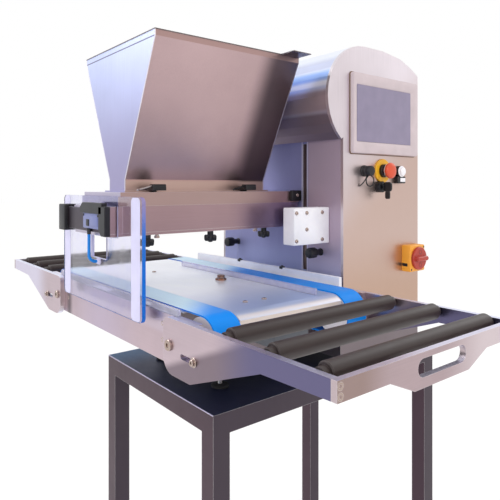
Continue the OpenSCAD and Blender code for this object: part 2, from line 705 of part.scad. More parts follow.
// Clear end guard: rounded panel with a stepped window that the end cap comes through.
module end_guard() color("lavender") at() prof_xz(guard_y[0], guard_y[1]) difference() {
  union() {
    translate([-guard_hx, guard_z[0] + 12]) square([2 * guard_hx, guard_z[1] - guard_z[0] - 24]);
    translate([-guard_hx + 12, guard_z[0]]) square([2 * guard_hx - 24, guard_z[1] - guard_z[0]]);
    for (x = [-guard_hx + 12, guard_hx - 12], z = [guard_z[0] + 12, guard_z[1] - 12])
      translate([x, z]) circle(r = 12);
  }
  translate([-head_hx - 1, head_z[0] - 2]) square([2 * head_hx + 2, head_z[2] - head_z[0] + 2]);
  translate([window_x, window_z]) square([window_w, head_z[0] - window_z]);
}

// Bracket on the end cap: a bar between two black blocks, a hook, and a switch box under the hook.
module guard_bracket() color("#222222") at() translate([0, cap_y, head_z0]) {
  x1 = head_hx + 5;
  x0 = x1 - out_block_w;
  in_x = [in_block_x, in_block_x + in_block_w];
  block_z = [-4, body_h];
  bx([in_x[1] - 4, x0 + 13], [-hold_t, 0], [1, body_h - 5]);
  bx([x0, x1], [-switch_d, 0], block_z);
  bx(in_x, [-switch_d, guard_y[0] - cap_y], block_z);
  bx([x0 - box_w - 12, x0 + 15], [-switch_d, 0], [body_h - 15, body_h + 7]);
  bx([x0 - box_w, x0], [-switch_d + 2, 0], [8, body_h - 14]);
}

// Blue cable from the switch box down and into the guard panel.
cable_r = 3.2;
cable_bend = 15;
module cable() color("royalblue") at() translate([10, 0, 0]) {
  y = cap_y - hold_t - cable_r - gap / 3;
  z = window_z - 5 + cable_bend;
  cz(cable_r, z, head_z0 + 8, 0, y);
  translate([0, y + cable_bend, z]) rotate([0, 90, 0]) rotate([0, 0, -90]) rotate_extrude(angle = 90)
    translate([cable_bend, 0]) circle(r = cable_r);
  cyl_y(cable_r, y + cable_bend, guard_y[0], 0, z - cable_bend);
}

// Screen unit with its glass, on the control plate.
scr_y = [294, 557];
scr_z = [307, 502];
gls_y = [307, 523];
gls_z = [336, 473];
module screen_unit() color("lightgray") at() difference() {
  bx([ctrl, ctrl + 12], scr_y, scr_z);
  bx([ctrl + 10, ctrl + 13], gls_y, gls_z);
}
module screen_glass() color("midnightblue") at() bx([ctrl + 10, ctrl + 11.5], gls_y, gls_z);

// Black bases: button holder, key switch body and capped port with its strap.
start_p = [483, 266];
key_p = [401, 226];
port_p = [345, 265];
module control_bases() color("#222222") at() {
  difference() {
    union() {
      bx([ctrl, ctrl + 12], [start_p[0] - 15, start_p[0] + 18], [start_p[1] - 31, start_p[1]]);
      cx(14.5, ctrl, ctrl + 12, start_p[0], start_p[1]);
    }
    cx(11.5 + run, ctrl + 2, ctrl + 13, start_p[0], start_p[1]);
  }
  difference() {
    cx(14, ctrl, ctrl + 16, key_p[0], key_p[1]);
    cx(4 + run, ctrl + 6, ctrl + 17, key_p[0], key_p[1]);
  }
  cx(12.5, ctrl, ctrl + 26, port_p[0], port_p[1]);
  cx(14, ctrl, ctrl + 5, port_p[0], port_p[1]);
  translate([ctrl + 14, port_p[0] + 3, port_p[1] - 25]) rotate([0, 90, 0])
    rotate_extrude() translate([12.5, 0]) circle(r = 1.8);
}

// Emergency stop: yellow ring and red mushroom on a stem.
stop_p = [417, 266.5];
module estop_ring() color("gold") at() difference() {
  union() {
    cx(30, ctrl, ctrl + 4.5, stop_p[0], stop_p[1]);
    cx(16.4, ctrl, ctrl + 12, stop_p[0], stop_p[1]);
  }
  cx(8 + run, ctrl + 1, ctrl + 13, stop_p[0], stop_p[1]);
}
module estop_button() color("red") at() {
  cx(8, ctrl + 8, ctrl + 22, stop_p[0], stop_p[1]);
  translate([ctrl + 20, stop_p[0], stop_p[1]]) rotate([0, 90, 0]) cylinder(r1 = 15, r2 = 20, h = 6);
  translate([ctrl + 26, stop_p[0], stop_p[1]]) rotate([0, 90, 0]) cylinder(r1 = 20, r2 = 16, h = 8);
}

// White push button and the key.
module start_button() color("white") at() cx(11.5, ctrl + 7, ctrl + 19, start_p[0], start_p[1]);
module key() color("#222222") at() translate([0, key_p[0], key_p[1]]) {
  cx(4, ctrl + 8, ctrl + 18, 0, 0);
  bx([ctrl + 17, ctrl + 42], [-2, 2], [-12, 12]);
  bx([ctrl + 23, ctrl + 36], [-2, 2], [-30, -11]);
}

// Main switch: yellow box and red turning knob.
sw_y = [502, 567];
sw_z = [3, 72];
sw_d = 26;
sw_p = [(sw_y[0] + sw_y[1]) / 2, (sw_z[0] + sw_z[1]) / 2];
module switch_box() color("gold") at() difference() {
  bx([ctrl, ctrl + sw_d], sw_y, sw_z);
  cx(5 + run, ctrl + 12, ctrl + sw_d + 1, sw_p[0], sw_p[1]);
}
module switch_knob() color("red") at() {
  cx(5, ctrl + 14, ctrl + sw_d + 1, sw_p[0], sw_p[1]);
  cx(30, ctrl + sw_d + gap, ctrl + sw_d + 8, sw_p[0], sw_p[1]);
  bx([ctrl + sw_d + 7, ctrl + sw_d + 18], [sw_p[0] - 26, sw_p[0] + 26], [sw_p[1] - 7, sw_p[1] + 7]);
}

stand_frame();
stand_feet();
machine_feet();
base_frame();
plate_near();
plate_far();
slide_plate();
belts();
drive_drum();
idler_drum();
belt_motor();
tray_guide();
clear_strip();
tray_sensor();
arm_pivots();
infeed_arm_near();
infeed_arm_far();
infeed_end_plate();
infeed_roller_1();
infeed_roller_2();
infeed_roller_3();
outfeed_arm_near();
outfeed_arm_far();
outfeed_end_plate();
outfeed_roller_1();
outfeed_roller_2();
outfeed_roller_3();
column_shell();
front_panel();
control_plate();
rear_plate();
guide_frame();
lift_actuator();
column_knobs();
carriage();
slide_block();
block_screws();
head_body();
head_cap();
clamp_block();
nozzle_plate();
nozzle_knobs();
feed_roller_a();
feed_roller_b();
hopper();
hopper_lid();
hopper_clamp_1();
hopper_clamp_2();
end_guard();
guard_bracket();
cable();
screen_unit();
screen_glass();
control_bases();
estop_ring();
estop_button();
start_button();
key();
switch_box();
switch_knob();
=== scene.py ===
import math

import bmesh
import bpy
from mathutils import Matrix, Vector


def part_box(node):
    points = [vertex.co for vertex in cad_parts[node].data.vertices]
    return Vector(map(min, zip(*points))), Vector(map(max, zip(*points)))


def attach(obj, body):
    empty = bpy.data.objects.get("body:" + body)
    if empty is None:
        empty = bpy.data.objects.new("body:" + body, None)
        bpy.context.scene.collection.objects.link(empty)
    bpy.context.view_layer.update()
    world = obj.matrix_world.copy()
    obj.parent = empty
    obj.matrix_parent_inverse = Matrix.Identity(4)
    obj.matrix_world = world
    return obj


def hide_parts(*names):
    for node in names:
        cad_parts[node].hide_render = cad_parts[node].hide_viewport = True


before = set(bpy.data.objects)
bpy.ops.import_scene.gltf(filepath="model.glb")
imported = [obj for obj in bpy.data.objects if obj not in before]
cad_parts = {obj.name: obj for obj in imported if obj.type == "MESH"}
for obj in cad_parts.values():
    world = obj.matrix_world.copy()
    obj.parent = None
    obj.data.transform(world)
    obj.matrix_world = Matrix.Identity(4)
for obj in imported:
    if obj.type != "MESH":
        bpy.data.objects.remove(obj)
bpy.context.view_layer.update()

# Camera. The machine is seen level from in front of its outfeed end, a little above the tray
# conveyor, and the lens looks lower by its shift, so upright edges stay upright.
MM = 0.001
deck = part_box("plate_near")[1].z
mid_y = (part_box("plate_near")[0].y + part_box("plate_far")[1].y) / 2


def at(x, y, z):
    """A point in millimetres from the conveyor's middle, level with the top of its side plates."""
    return Vector((x * MM, mid_y + y * MM, deck + z * MM))


scene = bpy.context.scene
eye = bpy.data.cameras.new("eye")
eye.sensor_width = 36
eye.lens = 38.34
eye.shift_y = -0.1276
eye_object = bpy.data.objects.new("eye", eye)
eye_object.location = at(1084, -694, 227.6)
eye_object.rotation_euler = (math.radians(90), 0, math.radians(51.14))
scene.collection.objects.link(eye_object)
scene.camera = eye_object
scene.view_settings.view_transform = "Standard"


# Studio. A white room gives even light; its side behind the camera is a little warm and its left
# side a little blue, and that same room is what the steel mirrors.
def add(tree, kind, inputs=None, **props):
    """Adds a node, sets its properties, and sets or links its inputs."""
    made = tree.nodes.new(kind)
    for key, value in props.items():
        setattr(made, key, value)
    for key, value in (inputs or {}).items():
        if isinstance(value, bpy.types.NodeSocket):
            tree.links.new(value, made.inputs[key])
        else:
            made.inputs[key].default_value = value
    return made


def mix(tree, factor, a, b, blend="MIX"):
    """Mixes two colours and gives the result's socket."""
    made = add(tree, "ShaderNodeMix", {0: factor, 6: a, 7: b}, data_type="RGBA", blend_type=blend)
    return made.outputs[2]


def ramp(tree, value, low, high):
    """Maps value from low..high to 0..1 with soft ends."""
    made = add(tree, "ShaderNodeMapRange", {0: value, 1: low, 2: high}, interpolation_type="SMOOTHSTEP")
    return made.outputs[0]


def maths(tree, operation, a, b=0.0):
    """One sum on two values."""
    return add(tree, "ShaderNodeMath", {0: a, 1: b}, operation=operation).outputs[0]


def seen_rays(tree):
    """1 for rays that show the room itself, to the eye or in metal and glass."""
    path = add(tree, "ShaderNodeLightPath").outputs
    total = maths(tree, "ADD", path["Is Camera Ray"], path["Is Glossy Ray"])
    return add(tree, "ShaderNodeMath", {0: total, 1: path["Is Transmission Ray"]}, operation="ADD",
               use_clamp=True).outputs[0]


world = bpy.data.worlds.new("studio")
scene.world = world
world.use_nodes = True
tree = world.node_tree
tree.nodes.clear()
X, Y, Z = 0, 1, 2
way = add(tree, "ShaderNodeTexCoord").outputs["Generated"]
way = add(tree, "ShaderNodeSeparateXYZ", {0: way}).outputs
warm_side = ramp(tree, way[X], 0.1, 1.0)
blue_side = ramp(tree, maths(tree, "MULTIPLY", way[X], -1.0), 0.3, 1.0)
front_side = ramp(tree, maths(tree, "MULTIPLY", way[Y], -1.0), 0.0, 1.0)
room = mix(tree, warm_side, (1, 1, 1, 1), (0.86, 0.77, 0.70, 1))
room = mix(tree, maths(tree, "MULTIPLY", blue_side, front_side), room, (0.78, 0.86, 1.0, 1))
room = mix(tree, add(tree, "ShaderNodeLightPath").outputs["Is Camera Ray"], room, (1, 1, 1, 1))
shown = add(tree, "ShaderNodeBackground", {0: room, 1: 1.0})
light = add(tree, "ShaderNodeBackground", {0: (1, 0.99, 0.98, 1), 1: 0.95})
both = add(tree, "ShaderNodeMixShader", {0: seen_rays(tree), 1: light.outputs[0], 2: shown.outputs[0]})
add(tree, "ShaderNodeOutputWorld", {0: both.outputs[0]})

REACH = 40.0
corners = [(-REACH, -REACH, 0), (REACH, -REACH, 0), (REACH, REACH, 0), (-REACH, REACH, 0)]
floor_mesh = bpy.data.meshes.new("studio_floor")
floor_mesh.from_pydata(corners, [], [(0, 1, 2, 3)])
studio_floor = bpy.data.objects.new("studio_floor", floor_mesh)
scene.collection.objects.link(studio_floor)
floor_paint = bpy.data.materials.new("floor_paint")
floor_paint.use_nodes = True
tree = floor_paint.node_tree
tree.nodes.clear()
plain = add(tree, "ShaderNodeBsdfDiffuse", {0: (0.88, 0.87, 0.86, 1)})
half_tone = add(tree, "ShaderNodeBsdfDiffuse", {0: (0.5, 0.5, 0.5, 1)})
glow = add(tree, "ShaderNodeEmission", {0: (1, 1, 1, 1), 1: 0.53})
pale = add(tree, "ShaderNodeAddShader", {0: half_tone.outputs[0], 1: glow.outputs[0]})
both = add(tree, "ShaderNodeMixShader", {0: seen_rays(tree), 1: plain.outputs[0], 2: pale.outputs[0]})
add(tree, "ShaderNodeOutputMaterial", {0: both.outputs[0]})
floor_mesh.materials.append(floor_paint)

for name, place, aim, width, watts in (("key", (-1.6, -2.2, 3.0), (0, 0, 1.1), 1.6, 26),
                                       ("fill", (2.8, -1.4, 2.2), (0, 0, 1.1), 1.8, 16),
                                       ("back", (0.6, 2.8, 2.8), (0, 0, 1.2), 1.6, 14)):
    lamp = bpy.data.lights.new(name, "AREA")
    lamp.size = width
    lamp.energy = watts
    lamp_object = bpy.data.objects.new(name, lamp)
    lamp_object.location = place
    lamp_object.rotation_euler = (Vector(aim) - Vector(place)).to_track_quat("-Z", "Y").to_euler()
    scene.collection.objects.link(lamp_object)


# Stand. Square stainless tube, cut, welded and brushed, under a flat sheet top. The steel is a
# dull warm grey on its uprights; the top's dark navy tone is a painted reflection of the dark underside of
# the machine.
def sockets(group, way, *kinds):
    """Gives a node group its named sockets."""
    for label, kind in kinds:
        group.interface.new_socket(label, in_out=way, socket_type="NodeSocket" + kind)


def noise(tree, place, scale, detail, roughness=0.5):
    """A cloudy pattern from 0 to 1."""
    given = {"Vector": place, "Scale": scale, "Detail": detail, "Roughness": roughness}
    return add(tree, "ShaderNodeTexNoise", given).outputs[0]


def shaded(tree, paint, level):
    """A colour, made lighter or darker by a level."""
    return add(tree, "ShaderNodeVectorMath", {0: paint, "Scale": level}, operation="SCALE").outputs[0]


def edge_highlight(tree, width):
    """A painted highlight mask: 1 along sharp edges, where a rounded edge would catch the light, and 0 on
    flat faces.
    """
    round_off = add(tree, "ShaderNodeBevel", {"Radius": width}, samples=4).outputs[0]
    true_face = add(tree, "ShaderNodeNewGeometry").outputs["True Normal"]
    turn = add(tree, "ShaderNodeVectorMath", {0: round_off, 1: true_face}, operation="DOT_PRODUCT")
    return add(tree, "ShaderNodeMapRange", {0: turn.outputs["Value"], 1: 0.99, 2: 0.8}).outputs[0]


# Brushed skin. It gives each face a side, front or top tone by which way the face looks; these tones are
# painted light, shade and reflection of the room. The grain and cloud over them are the steel's own, and
# sharp edges get a painted highlight.
skin = bpy.data.node_groups.new("brushed_skin", "ShaderNodeTree")
sockets(skin, "INPUT", ("Side", "Color"), ("Front", "Color"), ("Top", "Color"), ("Grain", "Vector"),
        ("Shine", "Float"))
sockets(skin, "OUTPUT", ("Color", "Color"), ("Roughness", "Float"), ("Height", "Float"))
given = add(skin, "NodeGroupInput").outputs
spot = add(skin, "ShaderNodeTexCoord").outputs
squared = add(skin, "ShaderNodeVectorMath", {0: spot["Normal"], 1: spot["Normal"]}, operation="MULTIPLY")
facing = add(skin, "ShaderNodeSeparateXYZ", {0: squared.outputs[0]}).outputs
tone = mix(skin, facing[Z], mix(skin, facing[Y], given["Side"], given["Front"]), given["Top"])
stretched = add(skin, "ShaderNodeVectorMath", {0: spot["Object"], 1: given["Grain"]}, operation="MULTIPLY")
grain = noise(skin, stretched.outputs[0], 1.0, 4.0, 0.6)
cloud = noise(skin, spot["Object"], 5.0, 3.0, 0.55)
smear = noise(skin, spot["Object"], 38.0, 5.0, 0.65)
light_dark = maths(skin, "ADD", maths(skin, "MULTIPLY", grain, 0.22), maths(skin, "MULTIPLY", cloud, 0.34))
light_dark = maths(skin, "ADD", light_dark, 0.72)
# Painted highlight: sharp edges are lightened as if they caught the light.
edge_glint = maths(skin, "MULTIPLY", edge_highlight(skin, 0.0016), 0.55)
glinting_steel_tone = mix(skin, edge_glint, shaded(skin, tone, light_dark), (0.86, 0.85, 0.86, 1))
dull = maths(skin, "ADD", maths(skin, "MULTIPLY", smear, 0.16), maths(skin, "MULTIPLY", grain, 0.10))
dull = maths(skin, "ADD", dull, maths(skin, "SUBTRACT", given["Shine"], 0.13))
add(skin, "NodeGroupOutput", {"Color": glinting_steel_tone, "Roughness": dull, "Height": grain})

ALONG_X = (9.0, 700.0, 700.0)
ALONG_Y = (700.0, 9.0, 700.0)
ALONG_Z = (700.0, 700.0, 9.0)


def colour(red, green, blue):
    """A screen colour from 0 to 255 as the linear one that shaders use."""
    return tuple((c / 255) ** 2.2 for c in (red, green, blue)) + (1.0,)


def band(tree, paint, face, axis, middle, half, soft, tone, strength):
    """Lays a soft band of another tone, as painted light, shade or reflection, over the faces that look
    along an axis, over the near side or over all. The band lies across an axis, or across any direction
    given as a vector."""
    way = Vector(axis) if isinstance(axis, tuple) else Vector([float(i == axis) for i in range(3)])
    spot = add(tree, "ShaderNodeTexCoord").outputs
    along = add(tree, "ShaderNodeVectorMath", {0: spot["Object"], 1: way}, operation="DOT_PRODUCT")
    line = at(0, 0, 0).dot(way) + middle * MM
    off = maths(tree, "ABSOLUTE", maths(tree, "SUBTRACT", along.outputs["Value"], line))
    cover = ramp(tree, off, (half + soft) * MM, max(half - soft, 0) * MM)
    if face is not None:
        facing = add(tree, "ShaderNodeSeparateXYZ", {0: spot["Normal"]}).outputs
        if face == "near":
            shown = ramp(tree, facing[Y], 0.2, -0.1)
        else:
            shown = maths(tree, "MULTIPLY", facing[face], facing[face])
        cover = maths(tree, "MULTIPLY", cover, shown)
    return mix(tree, maths(tree, "MULTIPLY", cover, strength), paint, colour(*tone))


def skinned(name, group, values, bump, depth, bands):
    """A material that takes colour, roughness and relief from a skin, with soft painted bands of light,
    shade or reflection over the colour.
    """
    made = bpy.data.materials.new(name)
    made.use_nodes = True
    tree = made.node_tree
    shader = tree.nodes["Principled BSDF"]
    look = add(tree, "ShaderNodeGroup", values, node_tree=group).outputs
    paint = look["Color"]
    for given in bands:
        paint = band(tree, paint, *given)
    relief = add(tree, "ShaderNodeBump", {"Strength": bump, "Distance": depth, "Height": look["Height"]})
    tree.links.new(paint, shader.inputs["Base Color"])
    tree.links.new(look["Roughness"], shader.inputs["Roughness"])
    tree.links.new(relief.outputs[0], shader.inputs["Normal"])
    return made


def steel(name, side, front, top, grain=ALONG_Z, shine=0.34, bump=0.05, bands=(), metal=1.0):
    """Brushed stainless steel whose tones on side, front and top faces are painted light and reflection,
    with soft painted bands over them.
    """
    values = {"Side": colour(*side), "Front": colour(*front), "Top": colour(*top), "Grain": grain,
              "Shine": shine}
    made = skinned(name, skin, values, bump, 0.0004, bands)
    made.node_tree.nodes["Principled BSDF"].inputs["Metallic"].default_value = metal
    return made


def dress(material, *names):
    """Gives carried-over nodes their finish."""
    for name in names:
        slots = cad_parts[name].data.materials
        slots.clear()
        slots.append(material)


def close(bm, rings):
    """Joins rings of points into one closed skin."""
    for low, high in zip(rings, rings[1:]):
        for i in range(len(low)):
            j = (i + 1) % len(low)
            bm.faces.new((low[i], low[j], high[j], high[i]))
    bm.faces.new(rings[0][::-1])
    bm.faces.new(rings[-1])


def wire(bm, points, radius, steps=12):
    """A round wire, seam or lead through points in millimetres."""
    path = [at(*p) for p in points]
    side = None
    rings = []
    for i, here in enumerate(path):
        ahead = (path[min(i + 1, len(path) - 1)] - path[max(i - 1, 0)]).normalized()
        if side is None:
            side = ahead.orthogonal().normalized()
        side = (side - ahead * side.dot(ahead)).normalized()
        up = ahead.cross(side)
        turns = [math.tau * j / steps for j in range(steps)]
        rings.append([bm.verts.new(here + (side * math.cos(a) + up * math.sin(a)) * radius * MM)
                      for a in turns])
    close(bm, rings)


def piece(name, bm, material, body, slot, *stands_for):
    """Turns a mesh into a piece of the object that rides on a body and may stand for nodes."""
    bmesh.ops.recalc_face_normals(bm, faces=bm.faces)
    for edge in bm.edges:
        edge.smooth = len(edge.link_faces) == 2 and edge.calc_face_angle() < math.radians(38)
    for face in bm.faces:
        face.smooth = True
    mesh = bpy.data.meshes.new(name)
    bm.to_mesh(mesh)
    bm.free()
    made = bpy.data.objects.new(name, mesh)
    scene.collection.objects.link(made)
    mesh.materials.append(material)
    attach(made, body)
    if stands_for:
        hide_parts(*stands_for)
    return made


# Painted reflection: the navy top tone, and a blue band over the top faces towards the infeed end.
stand_steel = steel("stand_steel", (71, 62, 71), (76, 59, 69), (56, 60, 88), ALONG_Z, 0.42, 0.05,
                    [(Z, X, -250, 60, 90, (64, 116, 164), 0.7)], 0.6)
dress(stand_steel, "stand_frame")
LEG = 40.0
TOP_SHEET = 3.0
stand_low, stand_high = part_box("stand_frame")
stand_x = stand_high.x / MM
stand_top = (stand_high.z - deck) / MM
stand_front, stand_back = ((y - mid_y) / MM for y in (stand_low.y, stand_high.y))
rail_low = stand_top - TOP_SHEET - LEG
seam_steel = steel("seam_steel", (104, 88, 88), (96, 84, 92), (104, 92, 98), ALONG_Z, 0.42)
beads = [(1 + 2 * i, rail_low + 0.3 * (i % 2)) for i in range(20)]
bm = bmesh.new()
for sx in (-1, 1):
    for y, inner_y in ((stand_front, stand_front + LEG), (stand_back - LEG, stand_back - LEG)):
        wire(bm, [(sx * (stand_x - LEG), y + along, z) for along, z in beads], 1.8, 8)
        wire(bm, [(sx * (stand_x - along), inner_y, z) for along, z in beads], 1.8, 8)
piece("stand_welds", bm, seam_steel, "frame", "steel")
# Pale round wires along the top sheet's front and back folds are a painted highlight on those edges.
fold_highlight_steel = steel("fold_highlight_steel", (190, 178, 200), (196, 186, 214), (206, 200, 226), ALONG_X, 0.34)
bm = bmesh.new()
for y in (stand_front + 0.9, stand_back - 0.9):
    wire(bm, [(share * (stand_x - 0.6), y, stand_top - 0.7) for share in (-1, -0.5, 0, 0.5, 1)], 1.3, 10)
piece("top_fold_highlights", bm, fold_highlight_steel, "frame", "steel")


# Screw feet. Turned steel studs in black rubber pads: large ones under the stand's legs, small ones
# with a lock nut under the machine's base.
def turned(bm, profile, place, axis, steps=40):
    """A turned part from (radius, height) pairs, counted from a place in millimetres along an axis."""
    lean = Vector((0, 0, 1)).rotation_difference(Vector(axis))
    rings = []
    for radius, height, *shape in profile:
        ring = []
        for i in range(steps):
            a = math.tau * i / steps
            reach = radius * (shape[0](a) if shape else 1.0)
            corner = Vector((reach * math.cos(a), reach * math.sin(a), height)) * MM
            ring.append(bm.verts.new(at(*place) + lean @ corner))
        rings.append(ring)
    close(bm, rings)


def hexagon(a):
    """A hexagon's share of its corner radius at an angle."""
    return math.cos(math.pi / 6) / math.cos(a % (math.pi / 3) - math.pi / 6)


def square(a):
    """A square's share of half its side at an angle."""
    return 1 / max(abs(math.cos(a)), abs(math.sin(a)))


def thread(low, high, radius, pitch):
    """Profile of a screw thread from low to high, as rings of crests and roots."""
    count = int((high - low) / pitch)
    points = []
    for i in range(count):
        points += [(radius, low + i * pitch), (radius - 0.28 * pitch, low + (i + 0.5) * pitch)]
    return points + [(radius, high)]


moulded = bpy.data.node_groups.new("moulded_skin", "ShaderNodeTree")
sockets(moulded, "INPUT", ("Color", "Color"), ("Dullness", "Float"), ("Size", "Float"))
sockets(moulded, "OUTPUT", ("Color", "Color"), ("Roughness", "Float"), ("Height", "Float"))
given = add(moulded, "NodeGroupInput").outputs
spot = add(moulded, "ShaderNodeTexCoord").outputs
pebble = noise(moulded, spot["Object"], given["Size"], 4.0)
cloud = noise(moulded, spot["Object"], 24.0, 3.0)
level = maths(moulded, "ADD", maths(moulded, "MULTIPLY", cloud, 0.28), 0.86)
# Painted highlight: edges are lightened a little.
edge_glint = maths(moulded, "MULTIPLY", edge_highlight(moulded, 0.0012), 0.08)
glinting_plastic_tone = mix(moulded, edge_glint, shaded(moulded, given["Color"], level), (0.9, 0.9, 0.9, 1))
dull = maths(moulded, "ADD", given["Dullness"], maths(moulded, "MULTIPLY", cloud, 0.14))
add(moulded, "NodeGroupOutput", {"Color": glinting_plastic_tone, "Roughness": dull, "Height": pebble})


def plastic(name, tone, dullness=0.38, size=900.0, bump=0.12, bands=()):
    """Moulded plastic or rubber of one colour, with a fine pebble, a faint painted highlight along its
    edges and any painted bands of light or reflection over it.
    """
    values = {"Color": colour(*tone), "Dullness": dullness, "Size": size}
    return skinned(name, moulded, values, bump, 0.0003, bands)


rubber = plastic("foot_rubber", (34, 33, 35), 0.6, 500.0, 0.3)
stud_steel = steel("stud_steel", (176, 170, 170), (176, 170, 170), (176, 170, 170), ALONG_Z, 0.3)
UP = (0, 0, 1)
ground = -deck / MM
pads, studs = bmesh.new(), bmesh.new()
for sx in (-1, 1):
    for y in (stand_front + LEG / 2, stand_back - LEG / 2):
        spot = (sx * (stand_x - LEG / 2), y, ground)
        turned(pads, [(19, 0), (22, 1.5), (22, 5), (20.5, 6.5), (14, 9), (9, 10)], spot, UP)
        turned(studs, [(5, 9)] + thread(9.5, 17, 6, 1.5) + [(11, 17, hexagon), (11, 22, hexagon)],
               spot, UP, 24)
        turned(studs, [(LEG / 2, 22, square), (LEG / 2, 25, square)], spot, UP)
piece("leg_pads", pads, rubber, "frame", "rubber_pad", "stand_feet")
piece("leg_studs", studs, stud_steel, "frame", "bright")

FOOT_X, FOOT_YS = 123, (-5, 480)
lift = (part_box("base_frame")[0].z - deck) / MM - stand_top
pads, studs = bmesh.new(), bmesh.new()
for sx in (-1, 1):
    for y in FOOT_YS:
        spot = (sx * FOOT_X, y, stand_top)
        turned(pads, [(18, 0), (20, 1.2), (20, 4), (18.5, 5.5), (12, 7), (8, 8)], spot, UP)
        turned(studs, [(4, 7)] + thread(8, lift - 7.5, 5, 1.25)
               + [(9, lift - 7, hexagon), (9, lift - 0.2, hexagon)], spot, UP, 24)
piece("level_pads", pads, rubber, "frame", "rubber_pad", "machine_feet")
piece("level_studs", studs, stud_steel, "frame", "bright")

# Base frame. A folded steel pan under the bed and the column, with cross bars that carry the side
# plates. It is hidden for the most part and left plain.
base_steel = steel("base_steel", (128, 118, 122), (132, 124, 132), (120, 118, 130), ALONG_X, 0.4)
dress(base_steel, "base_frame", "guide_frame", "carriage")


# Side plates. Thick laser-cut stainless plates, brushed along their length, each with two flush
# screws beside either arm, which swings close over them.
def screw(bm, place, axis, radius, height, key=2.6):
    """A socket-head screw that stands on a place."""
    turned(bm, [(radius, -0.5), (radius, height - 0.7), (radius - 0.7, height), (key, height, hexagon),
                (key, height * 0.4, hexagon)], place, axis, 24)


# Painted on the plates' faces: a dark band beside the infeed arm's inner end, kept to the lower part by a
# band of the plate's tone above it, is the shadow the arm casts; a bluer tone over the middle is a painted
# reflection.
plate_steel = steel("plate_steel", (196, 182, 188), (190, 170, 178), (225, 222, 240), ALONG_X, 0.33, 0.05,
                    [(Y, X, -228, 10, 16, (84, 74, 80), 0.85), (Y, Z, 10, 46, 6, (196, 180, 192), 1.0),
                     (Y, X, -40, 90, 120, (188, 174, 198), 0.7)])
dress(plate_steel, "plate_near", "plate_far")
screw_steel = steel("screw_steel", (172, 152, 142), (172, 152, 142), (190, 176, 170), ALONG_Z, 0.26)
face_y = (mid_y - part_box("plate_near")[0].y) / MM
bm = bmesh.new()
for sy in (-1, 1):
    for x in (-235, 235):
        for z in (-20, -50):
            turned(bm, [(4.8, -0.6), (4.8, 0.1), (4.5, 0.2), (2.7, 0.2, hexagon), (2.4, -0.3, hexagon)],
                   (x, sy * face_y, z), (0, sy, 0), 24)
piece("plate_screws", bm, screw_steel, "frame", "bright")


# Drums and belt motor. Turned steel drums on through shafts, and a grey painted gearmotor with
# cooling ribs on its round housing.
def block(bm, low, high, round_by):
    """A box between two corners in millimetres, with rounded edges."""
    a, b = at(*low), at(*high)
    corners = bmesh.ops.create_cube(bm, size=1.0)["verts"]
    for corner in corners:
        corner.co = Vector([a[i] + (corner.co[i] + 0.5) * (b[i] - a[i]) for i in range(3)])
    edges = list(dict.fromkeys(edge for corner in corners for edge in corner.link_edges))
    bmesh.ops.bevel(bm, geom=edges, offset=round_by * MM, segments=3, profile=0.5, affect="EDGES")


drum_steel = steel("drum_steel", (226, 222, 232), (232, 228, 238), (226, 222, 232), ALONG_Y, metal=0.4)
dress(drum_steel, "drive_drum", "idler_drum", "feed_roller_a", "feed_roller_b")
motor_paint = plastic("motor_paint", (92, 96, 104), 0.42, 300.0, 0.2)
dress(motor_paint, "lift_actuator")
RIGHT = (1, 0, 0)
bm = bmesh.new()
block(bm, (284, -45, -74), (350, 45, -7), 4)
ribs = [(27, 0), (28, 2), (28, 8)]
for start in [9 + 5.6 * i for i in range(20)]:
    ribs += [(25, start), (25, start + 2.4), (28, start + 3), (28, start + 5)]
turned(bm, ribs + [(26, 122), (26, 131)], (155, 0, -37), RIGHT)
piece("belt_gearmotor", bm, motor_paint, "frame", "motor_grey", "belt_motor")

# Belts. Two flat food belts of blue plastic, joined into loops round the drums. They are smooth on
# top, where a pale top tone is a painted reflection of the room, and a broad slanted band gives back their
# full blue towards the outfeed end, so the noses show it. Their skin is the steel's, with other tones and
# no metal.
belt_blue = steel("belt_blue", (0, 116, 222), (0, 100, 208), (206, 236, 255), ALONG_X, 0.40, 0.03,
                  [(None, (0.714, 0.70, 0), 480, 400, 40, (0, 138, 242), 0.98)], 0.0)
belt_blue.node_tree.nodes["Principled BSDF"].inputs["Specular IOR Level"].default_value = 0.12
dress(belt_blue, "belts")

# Slide plate. Bright stainless sheet between the belts, bent down at both ends and held by three
# low screws.
# Painted on the slide plate's top: a bluer band towards the outfeed end is a reflection, and a thin pale
# line across it near that end is a highlight.
bed_steel = steel("bed_steel", (230, 216, 208), (226, 230, 244), (244, 247, 255), ALONG_X, 0.34, 0.03,
                  [(Z, X, 330, 90, 130, (136, 160, 212), 0.8),
                   (Z, X, 351, 4, 4, (232, 220, 214), 0.9)], 0.35)
dress(bed_steel, "slide_plate")
bed_top = (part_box("slide_plate")[1].z - deck) / MM
bm = bmesh.new()
for x, y in ((285, -62), (287, -16), (-142, -24)):
    screw(bm, (x, y, bed_top), UP, 5.2, 2.4, 2.4)
piece("bed_screws", bm, screw_steel, "frame", "bright")

# Tray sensor. A short threaded barrel of dull brass on a hexagon foot, hollow at its tip, screwed
# into the slide plate where a tray passes over it.
sensor_brass = steel("sensor_brass", (132, 90, 74), (132, 90, 74), (104, 74, 64), ALONG_Z, 0.42)
bm = bmesh.new()
turned(bm, [(13, 0, hexagon), (13, 4.6, hexagon), (10, 5)] + thread(5.2, 9.4, 9, 1.4)
       + [(9, 11.4), (8.4, 12), (5.6, 12), (5.2, 11.2)], (61, 42, bed_top), UP, 48)
piece("sensor_barrel", bm, sensor_brass, "frame", "sensor_brown", "tray_sensor")

